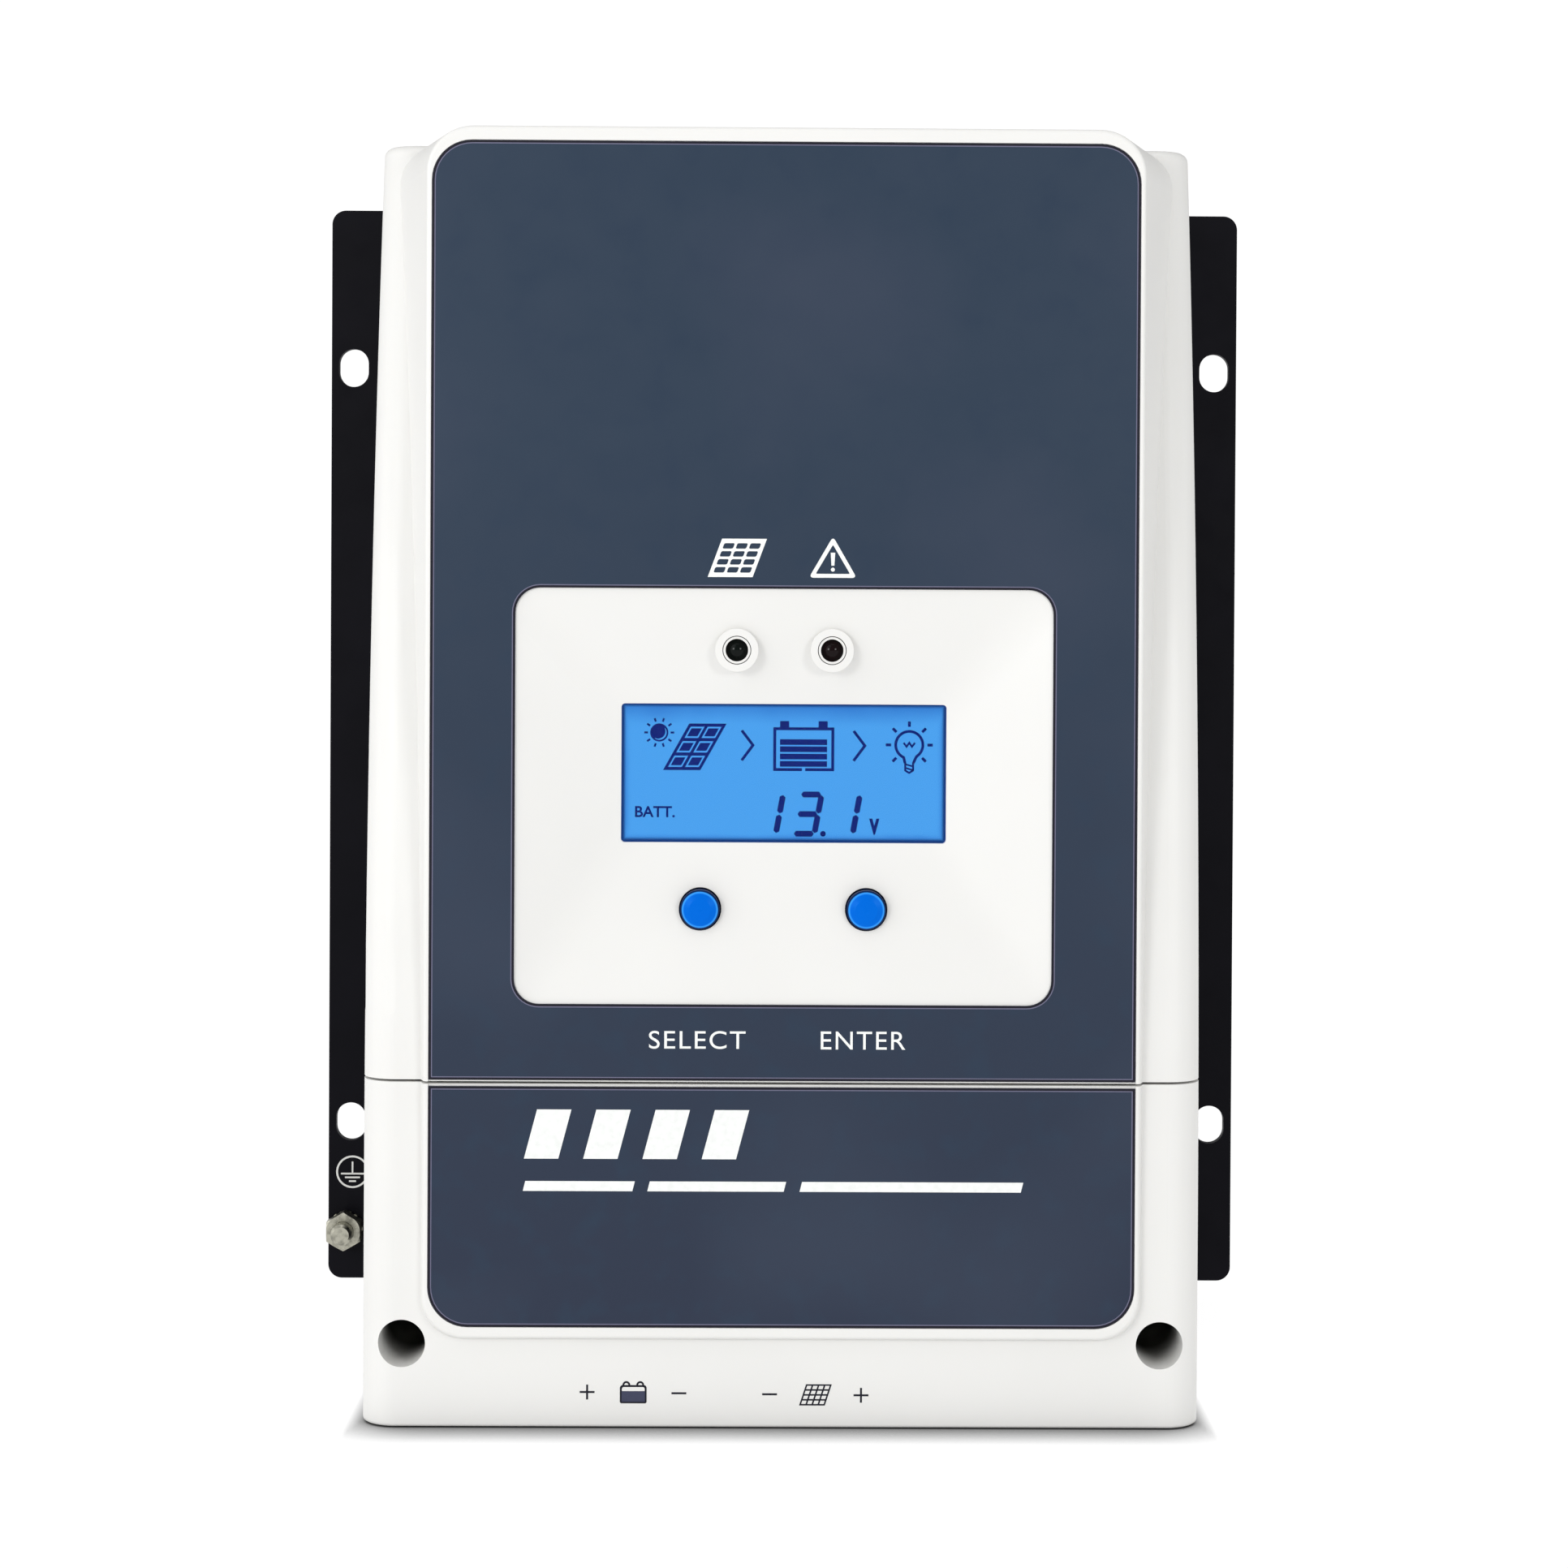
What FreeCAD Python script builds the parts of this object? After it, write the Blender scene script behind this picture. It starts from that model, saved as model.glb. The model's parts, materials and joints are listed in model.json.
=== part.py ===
"""Wall-mounted solar charge controller: finned heat sink, two-part plastic case, display and terminals.

Frame: X to the viewer's right, Z up, the wall at Y = 0 and the front facing -Y. Millimetres.
The origin is on the wall, midway between the four wall slots.
"Depth" means the distance out from the wall, so a depth of 45 is Y = -45.
"""
import FreeCAD, Part
import math
import os
import re
import Sketcher

Vector = FreeCAD.Vector

SIZES = {
    # Case
    "case_half": 85,
    "case_top": 130.5,
    "case_bottom": -131.3,
    "case_back": 45,
    "case_front": 117,
    "case_wall": 2.5,
    "case_edge": 7,
    "case_rim": 2,
    "case_foot": 0.6,
    "shoulder_start": -90,
    "shoulder_curve": 930,
    "seam_height": -61.5,
    "seam_gap": 0.5,
    # Raised panel on the front of the case
    "panel_half": 72,
    "panel_front": 119,
    "panel_bottom": -112.85,
    "panel_draft": 18,
    "panel_edge": 0.8,
    "panel_root": 80,
    # Printed films, let into the panel
    "film_half": 71,
    "film_top": 127.5,
    "film_split_top": -60.9,
    "film_split_bottom": -62.2,
    "film_bottom": -110.6,
    "film_thick": 0.4,
    "film_corner": 8,
    "film_gap": 0.12,
    # Dished recess round the display
    "dish_half": 54,
    "dish_top": 38,
    "dish_bottom": -45.6,
    "dish_corner": 5,
    "dish_deep": 7,
    "dish_skin": 3,
    "dish_crease": 22,
    # Display
    "window_half": 33,
    "window_tall": 14.1,
    "window_mid": 0.5,
    "window_corner": 0.8,
    "pane_margin": 2.4,
    "pane_front": 111,
    "pane_back": 109.5,
    "glass_back": 106.7,
    "display_board_front": 102.6,
    "display_board_back": 101,
    "display_board_half": 57,
    "display_board_top": 42,
    "display_board_bottom": -44,
    "display_post_x": 52,
    "display_post_top": 36,
    "display_post_bottom": -38,
    "display_post": 3,
    "display_bore": 1.3,
    "display_screw": 1.25,
    "display_head": 2.4,
    "display_head_tall": 1.8,
    # Lamps and buttons
    "lamp_x": 9.6,
    "lamp_z": 25.6,
    "lamp_ring": 4.35,
    "lamp_hole": 2.9,
    "lamp_ring_front": 117.2,
    "lamp_body": 2.5,
    "lamp_flange": 2.8,
    "lamp_tip": 116.8,
    "lamp_leg": 0.25,
    "button_x": 16.8,
    "button_z": -26.8,
    "button_hole": 4.3,
    "button_cap": 4,
    "button_rim": 116.6,
    "button_tip": 117.3,
    "button_flange": 5.2,
    "button_seat": 110.6,
    "button_stem_back": 107.5,
    "button_travel": 1,
    "switch_front": 106.1,
    "plunger_radius": 1.7,
    "plunger_back": 105,
    "plunger_clear": 0.08,
    "stem_radius": 2.4,
    "switch_half": 3,
    # Heat sink
    "sink_half": 83,
    "sink_tall": 127.5,
    "sink_base": 39,
    "fin_thick": 2.2,
    "fin_pitch": 10.2,
    "side_fin_thick": 3,
    # Mounting ears
    "ear_edge": 108,
    "ear_thick": 2,
    "ear_corner": 3.3,
    "slot_x": 102.7,
    "slot_z": 90,
    "slot_wide": 7,
    "slot_tall": 9,
    "ear_screw_depth": 41.5,
    "ear_screw_long": 9,
    "ear_way_long": 12,
    "sunk_radius": 3.1,
    "sunk_deep": 1.6,
    # Ground point on the left ear
    "ground_x": -103.8,
    "ground_z": -115.5,
    "stud_radius": 2.5,
    "stud_end": 11,
    "washer_front": 3.2,
    "nut_front": 7.2,
    "nut_flats": 8,
    "nut_round": 4.62,
    "nut_face": 4.05,
    "washer_radius": 4.15,
    "washer_clear": 0.1,
    "washer_tooth": 0.5,
    # Column of fixings behind the case sides, in the gap between the last two fins
    "fixing_x": 76.5,
    "housing_post": 4.5,
    "housing_fixing_top": 117,
    "housing_fixing_low": -52,
    "housing_bore": 2,
    "housing_bore_deep": 20,
    "housing_way": 2.2,
    "housing_shank": 1.95,
    "housing_shank_long": 18,
    "housing_head": 3.4,
    "housing_head_tall": 2.6,
    "cover_screw_z": -114.5,
    "recess_radius": 4.8,
    "recess_tube": 6.4,
    "recess_floor": 76,
    "cover_post_front": 72,
    "cover_post_radius": 4.5,
    "cover_screw_radius": 2,
    "cover_screw_long": 14,
    "cover_head": 4,
    "cover_head_tall": 3.4,
    # Screws of one small size hold the ears, strips, board and plate
    "small_shank": 1.45,
    "small_way": 1.5,
    "small_clear": 1.7,
    "small_head": 2.8,
    "small_head_tall": 2.2,
    # Cross slots in the heads of all screws
    "drive_half": 0.5,
    "drive_deep": 1.2,
    "head_round": 0.4,
    # Main board
    "board_half": 70,
    "board_top": 124,
    "board_bottom": -110,
    "board_back": 57,
    "board_front": 58.6,
    "standoff_x": 62,
    "standoff_high": 116,
    "standoff_low": -96,
    "standoff_radius": 3.5,
    "standoff_bore": 1.5,
    # Flat cable between the boards
    "connector_half": 10,
    "display_plug": 6,
    "main_plug": 8,
    "plug_half": 3,
    "display_plug_z": -30,
    "main_plug_z": 11,
    "ribbon_half": 8,
    "ribbon_depth": 82,
    "ribbon_thin": 0.4,
    # Capacitors, inductors and controller chip
    "can_rim": 0.5,
    "can_crown": 0.8,
    "inductor_z": -25,
    "core_inner": 10,
    "core_outer": 17,
    "core_back": 5,
    "core_front": 17,
    "coil_inner": 7,
    "coil_outer": 20,
    "coil_round": 2,
    "coil_slope": 4,
    "coil_tall": 21,
    "coil_shoulder": 18,
    "chip_half": 7,
    "chip_z": 65,
    "chip_tall": 1.6,
    # Row of transistors under one clamping strip
    "transistor_z": 80,
    "transistor_tall": 8,
    "transistor_half": 5,
    "transistor_back": 0.4,
    "transistor_front": 4.8,
    "insulator_half": 6,
    "insulator_low": 69,
    "insulator_high": 90,
    "leg_half": 0.4,
    "leg_back": 2,
    "leg_thick": 0.6,
    "leg_low": 69.4,
    "strip_reach": 64,
    "strip_tall": 4,
    "strip_deep": 3,
    # Terminals
    "pole_pitch": 18.33,
    "pole_first": -39.5,
    "block_left": -50.5,
    "block_right": 26.5,
    "block_front": 93,
    "block_top": -74,
    "block_bottom": -100,
    "cell_half": 6,
    "cell_back": 63.7,
    "cell_front": 87.4,
    "cell_top": -82,
    "cage_half": 5.9,
    "cage_wall": 1.2,
    "cage_back": 64,
    "cage_front": 82,
    "cage_low": -98,
    "cage_high": -84,
    "strap_back": 74.5,
    "strap_front": 76.5,
    "strap_half": 4.5,
    "clamp_screw": 2.5,
    "clamp_head": 4.1,
    "clamp_head_back": 88.4,
    "clamp_head_front": 91.4,
    "thread_clear": 0.05,
    # Cable entry plate
    "plate_low": -127.5,
    "plate_high": -125.5,
    "plate_half": 79.5,
    "plate_front": 112.5,
    "strip_half": 66,
    "strip_thick": 2,
    "strip_top": -113,
    "strip_screw_z": -119,
    "grommet_lip": 1.5,
    "entry_depth": 70,
    "entry_hole": 8,
    "entry_bore": 5.5,
    "entry_flange": 8.9,
}

WORD = re.compile(r"[a-z][a-z_]*[a-z]")
NEAR = 0.01
TURN_TO_DEPTH = FreeCAD.Rotation(Vector(1, 0, 0), 90)

doc = FreeCAD.newDocument("charge_controller")
sheet = doc.addObject("Spreadsheet::Sheet", "dims")
for row, (word, value) in enumerate(SIZES.items(), start=1):
    sheet.set(f"A{row}", word)
    sheet.set(f"B{row}", str(value))
    sheet.setAlias(f"B{row}", word)
doc.recompute()

nodes = []


def node(item, label):
    """Marks an object as one finished sub-part, whose label names its file."""
    item.Label = label
    nodes.append(item)
    return item


# ---------------------------------------------------------------- binding sizes to the sheet

def linked(formula):
    """Turns each sheet word in a formula into a reference to its cell."""
    return WORD.sub(lambda w: "dims." + w.group() if w.group() in SIZES else w.group(), str(formula))


def bind(item, prop, formula):
    item.setExpression(prop, linked(formula))


def place(item, x=0, depth=0, z=0, rotation=None):
    if rotation is not None:
        item.Placement.Rotation = rotation
    bind(item, "Placement.Base.x", x)
    bind(item, "Placement.Base.y", f"-({depth})")
    bind(item, "Placement.Base.z", z)
    return item


# ---------------------------------------------------------------- primitives and booleans

def box(name, across, depth, up):
    """A block between two X values, two depths and two heights."""
    item = doc.addObject("Part::Box", name)
    bind(item, "Length", f"({across[1]}) - ({across[0]})")
    bind(item, "Width", f"({depth[1]}) - ({depth[0]})")
    bind(item, "Height", f"({up[1]}) - ({up[0]})")
    return place(item, across[0], depth[1], up[0])


def rod(name, x, z, depth, radius):
    """A round bar square to the wall, from one depth to a larger one."""
    item = doc.addObject("Part::Cylinder", name)
    bind(item, "Radius", radius)
    bind(item, "Height", f"({depth[1]}) - ({depth[0]})")
    return place(item, x, depth[0], z, TURN_TO_DEPTH)


def taper(name, front, back, front_rect, back_rect):
    """A block that changes from one rectangle to another between two depths.

    Each rectangle is (left, right, bottom, top)."""
    item = doc.addObject("Part::Wedge", name)
    for prop, formula in zip(("Xmin", "Xmax", "Zmin", "Zmax"), front_rect):
        bind(item, prop, formula)
    for prop, formula in zip(("X2min", "X2max", "Z2min", "Z2max"), back_rect):
        bind(item, prop, formula)
    bind(item, "Ymin", f"-({front})")
    bind(item, "Ymax", f"-({back})")
    return item


def join(name, parts):
    if len(parts) == 1:
        return parts[0]
    item = doc.addObject("Part::MultiFuse", name)
    item.Shapes = parts
    item.Refine = True
    return item


def cut(name, base, tools):
    item = doc.addObject("Part::Cut", name)
    item.Base = base
    item.Tool = join(name + "_tools", tools)
    item.Refine = True
    return item


def overlap_of(name, first, second):
    item = doc.addObject("Part::Common", name)
    item.Base = first
    item.Tool = second
    return item


def group(name, parts):
    """Identical loose pieces that share one node."""
    item = doc.addObject("Part::Compound", name)
    item.Links = parts
    return item


# ---------------------------------------------------------------- sketched bodies

def sketch_on(body, role, offset=0):
    plane = next(feature for feature in body.Origin.OriginFeatures if feature.Role == role)
    sketch = body.newObject("Sketcher::SketchObject", body.Name + "_sketch")
    sketch.AttachmentSupport = [(plane, "")]
    sketch.MapMode = "FlatFace"
    bind(sketch, "AttachmentOffset.Base.z", offset)
    return sketch


def fix_point(sketch, geometry, corner, u, v):
    """Ties one end of a sketched edge to its two formulas."""
    for kind, formula in (("DistanceX", u), ("DistanceY", v)):
        index = sketch.addConstraint(Sketcher.Constraint(kind, -1, 1, geometry, corner, 1.0))
        bind(sketch, f"Constraints[{index}]", formula)


def value_of(formula):
    """What a formula is worth, to draw a sketch near its final shape."""
    return float(sheet.evalExpression(linked(formula)))


def outline(sketch, points):
    """Draws a closed polygon whose corners are pairs of formulas."""
    spots = [Vector(value_of(u), value_of(v), 0) for u, v in points]
    first = sketch.GeometryCount
    count = len(points)
    for index in range(count):
        sketch.addGeometry(Part.LineSegment(spots[index], spots[(index + 1) % count]), False)
    for index in range(count):
        following = first + (index + 1) % count
        sketch.addConstraint(Sketcher.Constraint("Coincident", first + index, 2, following, 1))
    for index, (u, v) in enumerate(points):
        fix_point(sketch, first + index, 1, u, v)


def rectangle(left, right, low, high):
    return [(left, low), (right, low), (right, high), (left, high)]


def pad(body, sketch, length):
    feature = body.newObject("PartDesign::Pad", body.Name + "_pad")
    feature.Profile = (sketch, [""])
    bind(feature, "Length", length)
    return feature


def edges_where(feature, test):
    """The names of a feature's edges whose mid-point and direction pass a test."""
    found = []
    for index, edge in enumerate(feature.Shape.Edges, start=1):
        middle = edge.valueAt((edge.FirstParameter + edge.LastParameter) / 2)
        along = edge.tangentAt((edge.FirstParameter + edge.LastParameter) / 2)
        if test(middle, along):
            found.append(f"Edge{index}")
    return found


def fillet(body, feature, radius, test):
    doc.recompute()
    item = body.newObject("PartDesign::Fillet", body.Name + "_fillet")
    item.Base = (feature, edges_where(feature, test))
    bind(item, "Radius", radius)
    return item


def slab(name, points, depth):
    """A flat sheet parallel to the wall, with the given outline, between two depths."""
    body = doc.addObject("PartDesign::Body", name)
    sketch = sketch_on(body, "XZ_Plane", depth[0])
    outline(sketch, points)
    pad(body, sketch, f"({depth[1]}) - ({depth[0]})")
    return body


def rounded_slab(name, rect, depth, radius, corner_test=lambda middle: True):
    """A rectangular sheet parallel to the wall with round corners."""
    body = slab(name, rectangle(*rect), depth)
    fillet(body, body.Tip, radius, lambda mid, way: abs(way.y) > 0.9 and corner_test(mid))
    return body


def turned(name, profile, x=0, z=0):
    """A piece turned about a line square to the wall. Its profile is (radius, depth) pairs."""
    body = doc.addObject("PartDesign::Body", name)
    sketch = sketch_on(body, "XZ_Plane")
    outline(sketch, profile)
    spin = body.newObject("PartDesign::Revolution", name + "_spin")
    spin.Profile = (sketch, [""])
    spin.ReferenceAxis = (sketch, ["V_Axis"])
    spin.Angle = 360
    return place(body, x, 0, z, TURN_TO_DEPTH)


def about(middle, half):
    """The two ends of a span that is centred on a formula."""
    return (f"{middle} - {half}", f"{middle} + {half}")


def cross_slot(name, x, z, depth, reach):
    """The cross-shaped hole in a screw's head."""
    level = box(name + "_level", about(x, reach), depth, about(z, "drive_half"))
    upright = box(name + "_upright", about(x, "drive_half"), depth, about(z, reach))
    return [level, upright]


def screw(name, x, z, seat, tip, head_front, shank, head):
    """A pan-head screw that points at the wall: its head stands in front of its seat."""
    crown = f"{head_front} - head_round"
    profile = [(0, tip), (shank, tip), (shank, seat), (head, seat), (head, crown),
               (f"{head} - head_round", head_front), (0, head_front)]
    blank = turned(name + "_blank", profile, x, z)
    drive = (f"{head_front} - drive_deep", head_front)
    return cut(name, blank, cross_slot(name + "_drive", x, z, drive, f"{head} * 0.6"))


def small_screw(name, x, z, seat, tip):
    return screw(name, x, z, seat, tip, f"{seat} + small_head_tall", "small_shank", "small_head")


def signed(side, word):
    return word if side > 0 else f"-{word}"


# ---------------------------------------------------------------- case

def case_form(name, inset, back):
    """The case's outer form, or the hollow in it: flat low down, then curving back to the top."""
    body = doc.addObject("PartDesign::Body", name)
    sketch = sketch_on(body, "YZ_Plane")
    less = "case_wall" if inset else "0"
    rear = value_of(f"-({back})")
    front = value_of(f"{less} - case_front")
    top = value_of(f"case_top - {less}")
    bottom = value_of(f"case_bottom + {less}")
    start = value_of("shoulder_start")
    radius = value_of(f"shoulder_curve - {less}")
    sweep = math.asin((top - start) / radius)
    corners = [Vector(rear, top, 0), Vector(rear, bottom, 0), Vector(front, bottom, 0),
               Vector(front, start, 0)]
    for first, second in zip(corners, corners[1:]):
        sketch.addGeometry(Part.LineSegment(first, second), False)
    circle = Part.Circle(Vector(front + radius, start, 0), Vector(0, 0, 1), radius)
    sketch.addGeometry(Part.ArcOfCircle(circle, math.pi - sweep, math.pi), False)
    arc_top = sketch.getPoint(3, 1)
    sketch.addGeometry(Part.LineSegment(arc_top, corners[0]), False)
    for pair in ((0, 2, 1, 1), (1, 2, 2, 1), (3, 1, 4, 1), (4, 2, 0, 1)):
        sketch.addConstraint(Sketcher.Constraint("Coincident", *pair))
    sketch.addConstraint(Sketcher.Constraint("Tangent", 2, 2, 3, 2))
    index = sketch.addConstraint(Sketcher.Constraint("Radius", 3, radius))
    bind(sketch, f"Constraints[{index}]", f"shoulder_curve - {less}")
    fix_point(sketch, 0, 1, f"-({back})", f"case_top - {less}")
    fix_point(sketch, 1, 1, f"-({back})", f"case_bottom + {less}")
    fix_point(sketch, 2, 1, f"{less} - case_front", f"case_bottom + {less}")
    index = sketch.addConstraint(Sketcher.Constraint("DistanceY", -1, 1, 3, 2, start))
    bind(sketch, f"Constraints[{index}]", "shoulder_start")
    index = sketch.addConstraint(Sketcher.Constraint("DistanceY", -1, 1, 3, 1, top))
    bind(sketch, f"Constraints[{index}]", f"case_top - {less}")
    block = pad(body, sketch, f"2 * (case_half - {less})")
    block.SideType = "Symmetric"
    half = value_of(f"case_half - {less}")
    block = fillet(body, block, f"case_edge - {less}",
                   lambda mid, way: abs(mid.x) > half - NEAR and abs(way.z) > 0.5 and mid.y < rear - NEAR)
    if not inset:
        block = fillet(body, block, "case_rim", lambda mid, way: mid.z > top - NEAR and mid.y < rear - NEAR)
        fillet(body, block, "case_foot", lambda mid, way: mid.z < bottom + NEAR and mid.y < rear - NEAR)
    return body


def panel_form(name, inset):
    """The raised panel on the case's front, with drafted sides. Inset gives the hollow behind it."""
    less = "case_wall" if inset else "0"
    spread = f"(panel_front - {less} - panel_root) * tan(panel_draft)"
    half = f"panel_half - {less}"
    low = f"panel_bottom + {less}"
    high = f"case_top - {less}"
    front = (f"-({half})", half, low, high)
    back = (f"-({half} + {spread})", f"{half} + {spread}", f"{low} - {spread}", high)
    return taper(name, f"panel_front - {less}", "panel_root", front, back)


def rounded_edges(name, base, radius, test):
    """Rounds the edges of a primitive whose mid-point and direction pass a test."""
    doc.recompute()
    item = doc.addObject("Part::Fillet", name)
    item.Base = base
    chosen = [int(edge[4:]) for edge in edges_where(base, test)]
    item.Edges = [(index, value_of(radius), value_of(radius)) for index in chosen]
    return item


def case_shell():
    """The whole case as one thin shell, before it is split at the seam."""
    outer = case_form("case_outer", False, "case_back")
    inner = case_form("case_inner", True, "case_back - 1")
    middle = -(SIZES["panel_front"] + SIZES["panel_root"]) / 2
    panel = rounded_edges("panel_corners", panel_form("panel_outer", False), "film_corner + 1",
                          lambda mid, way: abs(mid.y - middle) < 1)
    front = -SIZES["panel_front"]
    panel = rounded_edges("panel_soft", panel, "panel_edge", lambda mid, way: mid.y < front + NEAR)
    solid = join("case_solid", [outer, panel])
    shell = cut("case_shell", solid, [inner, panel_form("panel_hollow", True)])
    return solid, shell


def film_pocket():
    rect = ("-film_half - film_gap", "film_half + film_gap", "film_bottom - film_gap",
            "film_top + film_gap")
    depth = ("panel_front - film_thick", "panel_front + 1")
    return rounded_slab("film_pocket", rect, depth, "film_corner + film_gap")


def dish_opening(name, depth):
    """The dish's mouth, with round corners, as a straight plug."""
    rect = ("-dish_half", "dish_half", "dish_bottom", "dish_top")
    return rounded_slab(name, rect, depth, "dish_corner")


def dish():
    """The dish's outer skin, and the four-sided hollow that slopes down to the display."""
    window = ("-window_half", "window_half", "window_mid - window_tall", "window_mid + window_tall")
    mouth = ("-dish_half", "dish_half", "dish_bottom", "dish_top")
    skin = taper("dish_skin_form", "panel_front - 2", "pane_front",
                 ("-dish_half - dish_skin", "dish_half + dish_skin", "dish_bottom - dish_skin",
                  "dish_top + dish_skin"),
                 ("-window_half - dish_skin - 0.5", "window_half + dish_skin + 0.5",
                  "window_mid - window_tall - dish_skin", "window_mid + window_tall + dish_skin"))
    slopes = taper("dish_slopes", "panel_front - film_thick", "panel_front - dish_deep", mouth, window)
    front = value_of("film_thick - panel_front")
    floor = value_of("dish_deep - panel_front")
    slopes = rounded_edges("dish_creases", slopes, "dish_crease",
                           lambda mid, way: front + NEAR < mid.y < floor - NEAR)
    mouth_plug = dish_opening("dish_mouth", ("panel_front - dish_deep - 1", "panel_front + 1"))
    hollow = overlap_of("dish_hollow", slopes, mouth_plug)
    sight = rounded_slab("window_hole", window, ("pane_front - 1", "panel_front"), "window_corner")
    return skin, [hollow, sight]


def front_housing(solid, shell):
    zone = box("upper_zone", (-100, 100), (0, 130), ("seam_height + seam_gap / 2", 140))
    upper = overlap_of("housing_shell", shell, zone)
    inside = "case_half - case_wall / 2"
    floor = box("housing_floor_blank", (f"-({inside})", inside), ("board_front + 3.4", 120),
                ("seam_height + seam_gap / 2", "seam_height + seam_gap / 2 + case_wall"))
    posts = []
    bores = []
    for side in (-1, 1):
        x = signed(side, "fixing_x")
        for level in ("housing_fixing_top", "housing_fixing_low"):
            posts.append(rod("housing_post", x, level, ("case_back", 120), "housing_post"))
            bores.append(rod("housing_bore", x, level, ("case_back - 1", "case_back + housing_bore_deep"),
                             "housing_bore"))
        for level in ("display_post_top", "display_post_bottom"):
            x = signed(side, "display_post_x")
            posts.append(rod("display_post", x, level, ("display_board_front", "panel_front - 1"),
                             "display_post"))
            bores.append(rod("display_bore", x, level, ("display_board_front - 1", "pane_front"),
                             "display_bore"))
        x = signed(side, "lamp_x")
        bores.append(rod("lamp_bore", x, "lamp_z", (100, 120), "lamp_hole"))
        x = signed(side, "button_x")
        bores.append(rod("button_bore", x, "button_z", ("button_seat", 120), "button_hole"))
    inner_parts = overlap_of("housing_inner", join("housing_inner_blank", posts + [floor]), solid)
    ring_depth = ("pane_back", "lamp_ring_front")
    rings = [rod("lamp_ring", signed(side, "lamp_x"), "lamp_z", ring_depth, "lamp_ring")
             for side in (-1, 1)]
    skin, hollows = dish()
    body = join("housing_body", [upper, inner_parts, skin])
    dished = cut("housing_dished", body, hollows + [film_pocket()])
    ringed = join("housing_ringed", [dished] + rings)
    return node(cut("front_housing", ringed, bores), "front_housing")


def terminal_cover(solid, shell):
    zone = box("lower_zone", (-100, 100), (0, 130), (-140, "seam_height - seam_gap / 2"))
    lower = overlap_of("cover_shell", shell, zone)
    tubes = []
    holes = [box("cover_underside", (-74, 74), ("case_back - 1", "case_front - 11"),
                 ("case_bottom - 1", "case_bottom + case_wall + 0.1"))]
    for side in (-1, 1):
        x = signed(side, "fixing_x")
        tubes.append(rod("recess_tube", x, "cover_screw_z", ("cover_post_front", 120), "recess_tube"))
        holes.append(rod("recess_hole", x, "cover_screw_z", ("recess_floor", 121), "recess_radius"))
        holes.append(rod("screw_hole", x, "cover_screw_z", ("cover_post_front - 1", "recess_floor + 1"),
                         "cover_screw_radius + 0.2"))
    trimmed = overlap_of("recess_tubes", join("recess_tube_pair", tubes), solid)
    body = join("cover_body", [lower, trimmed])
    return node(cut("terminal_cover", body, holes + [film_pocket()]), "terminal_cover")


def films():
    depth = ("panel_front - film_thick", "panel_front")
    across = ("-film_half", "film_half")
    upper = rounded_slab("upper_film_sheet", (*across, "film_split_top", "film_top"), depth,
                         "film_corner", lambda mid: mid.z > 0)
    opening = dish_opening("film_opening", ("panel_front - 2", "panel_front + 2"))
    node(cut("upper_overlay", upper, [opening]), "upper_overlay")
    lower = rounded_slab("cover_overlay", (*across, "film_bottom", "film_split_bottom"), depth,
                         "film_corner", lambda mid: mid.z < -100)
    node(lower, "cover_overlay")


# ---------------------------------------------------------------- display, lamps and buttons

def display():
    low = "window_mid - window_tall"
    high = "window_mid + window_tall"
    pane = ("-window_half - pane_margin", "window_half + pane_margin", f"{low} - pane_margin",
            f"{high} + pane_margin")
    node(rounded_slab("lcd_window", pane, ("pane_back", "pane_front"), 1), "lcd_window")
    node(rounded_slab("lcd_module", pane, ("glass_back", "pane_back"), 1), "lcd_module")
    node(box("lcd_backlight", pane[:2], ("display_board_front", "glass_back"), pane[2:]), "lcd_backlight")

    board = slab("display_board_blank", rectangle("-display_board_half", "display_board_half",
                                                  "display_board_bottom", "display_board_top"),
                 ("display_board_back", "display_board_front"))
    holes = []
    screws = []
    for side in (-1, 1):
        for level in ("display_post_top", "display_post_bottom"):
            x = signed(side, "display_post_x")
            holes.append(rod("display_board_hole", x, level, (100, 104), 1.4))
            screws.append(box_screw("display_board_screw", x, level))
    node(cut("display_board", board, holes), "display_board")
    node(group("display_board_screws", screws), "display_board_screws")


def box_screw(name, x, z):
    """A small screw driven from behind the display board into its post."""
    head_back = "display_board_back - display_head_tall"
    profile = [(0, head_back), ("display_head", head_back), ("display_head", "display_board_back"),
               ("display_screw", "display_board_back"), ("display_screw", "pane_front - 1"),
               (0, "pane_front - 1")]
    return turned(name, profile, x, z)


def lamp(label, side):
    """A domed lamp with its flange and two legs down to the display board."""
    x = signed(side, "lamp_x")
    body_profile = [(0, "pane_back - 2.5"), ("lamp_flange", "pane_back - 2.5"),
                    ("lamp_flange", "pane_back - 1.5"), ("lamp_body", "pane_back - 1.5"),
                    ("lamp_body", "lamp_tip - lamp_body"), (0, "lamp_tip - lamp_body")]
    body = turned(label + "_body", body_profile, x, "lamp_z")
    dome = doc.addObject("Part::Sphere", label + "_dome")
    bind(dome, "Radius", "lamp_body")
    place(dome, x, "lamp_tip - lamp_body", "lamp_z")
    legs = [box(label + "_leg", about(f"{x} + {offset}", "lamp_leg"),
                ("display_board_front", "pane_back - 2.4"), about("lamp_z", "lamp_leg"))
            for offset in (-1.27, 1.27)]
    node(join(label, [body, dome] + legs), label)


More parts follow.
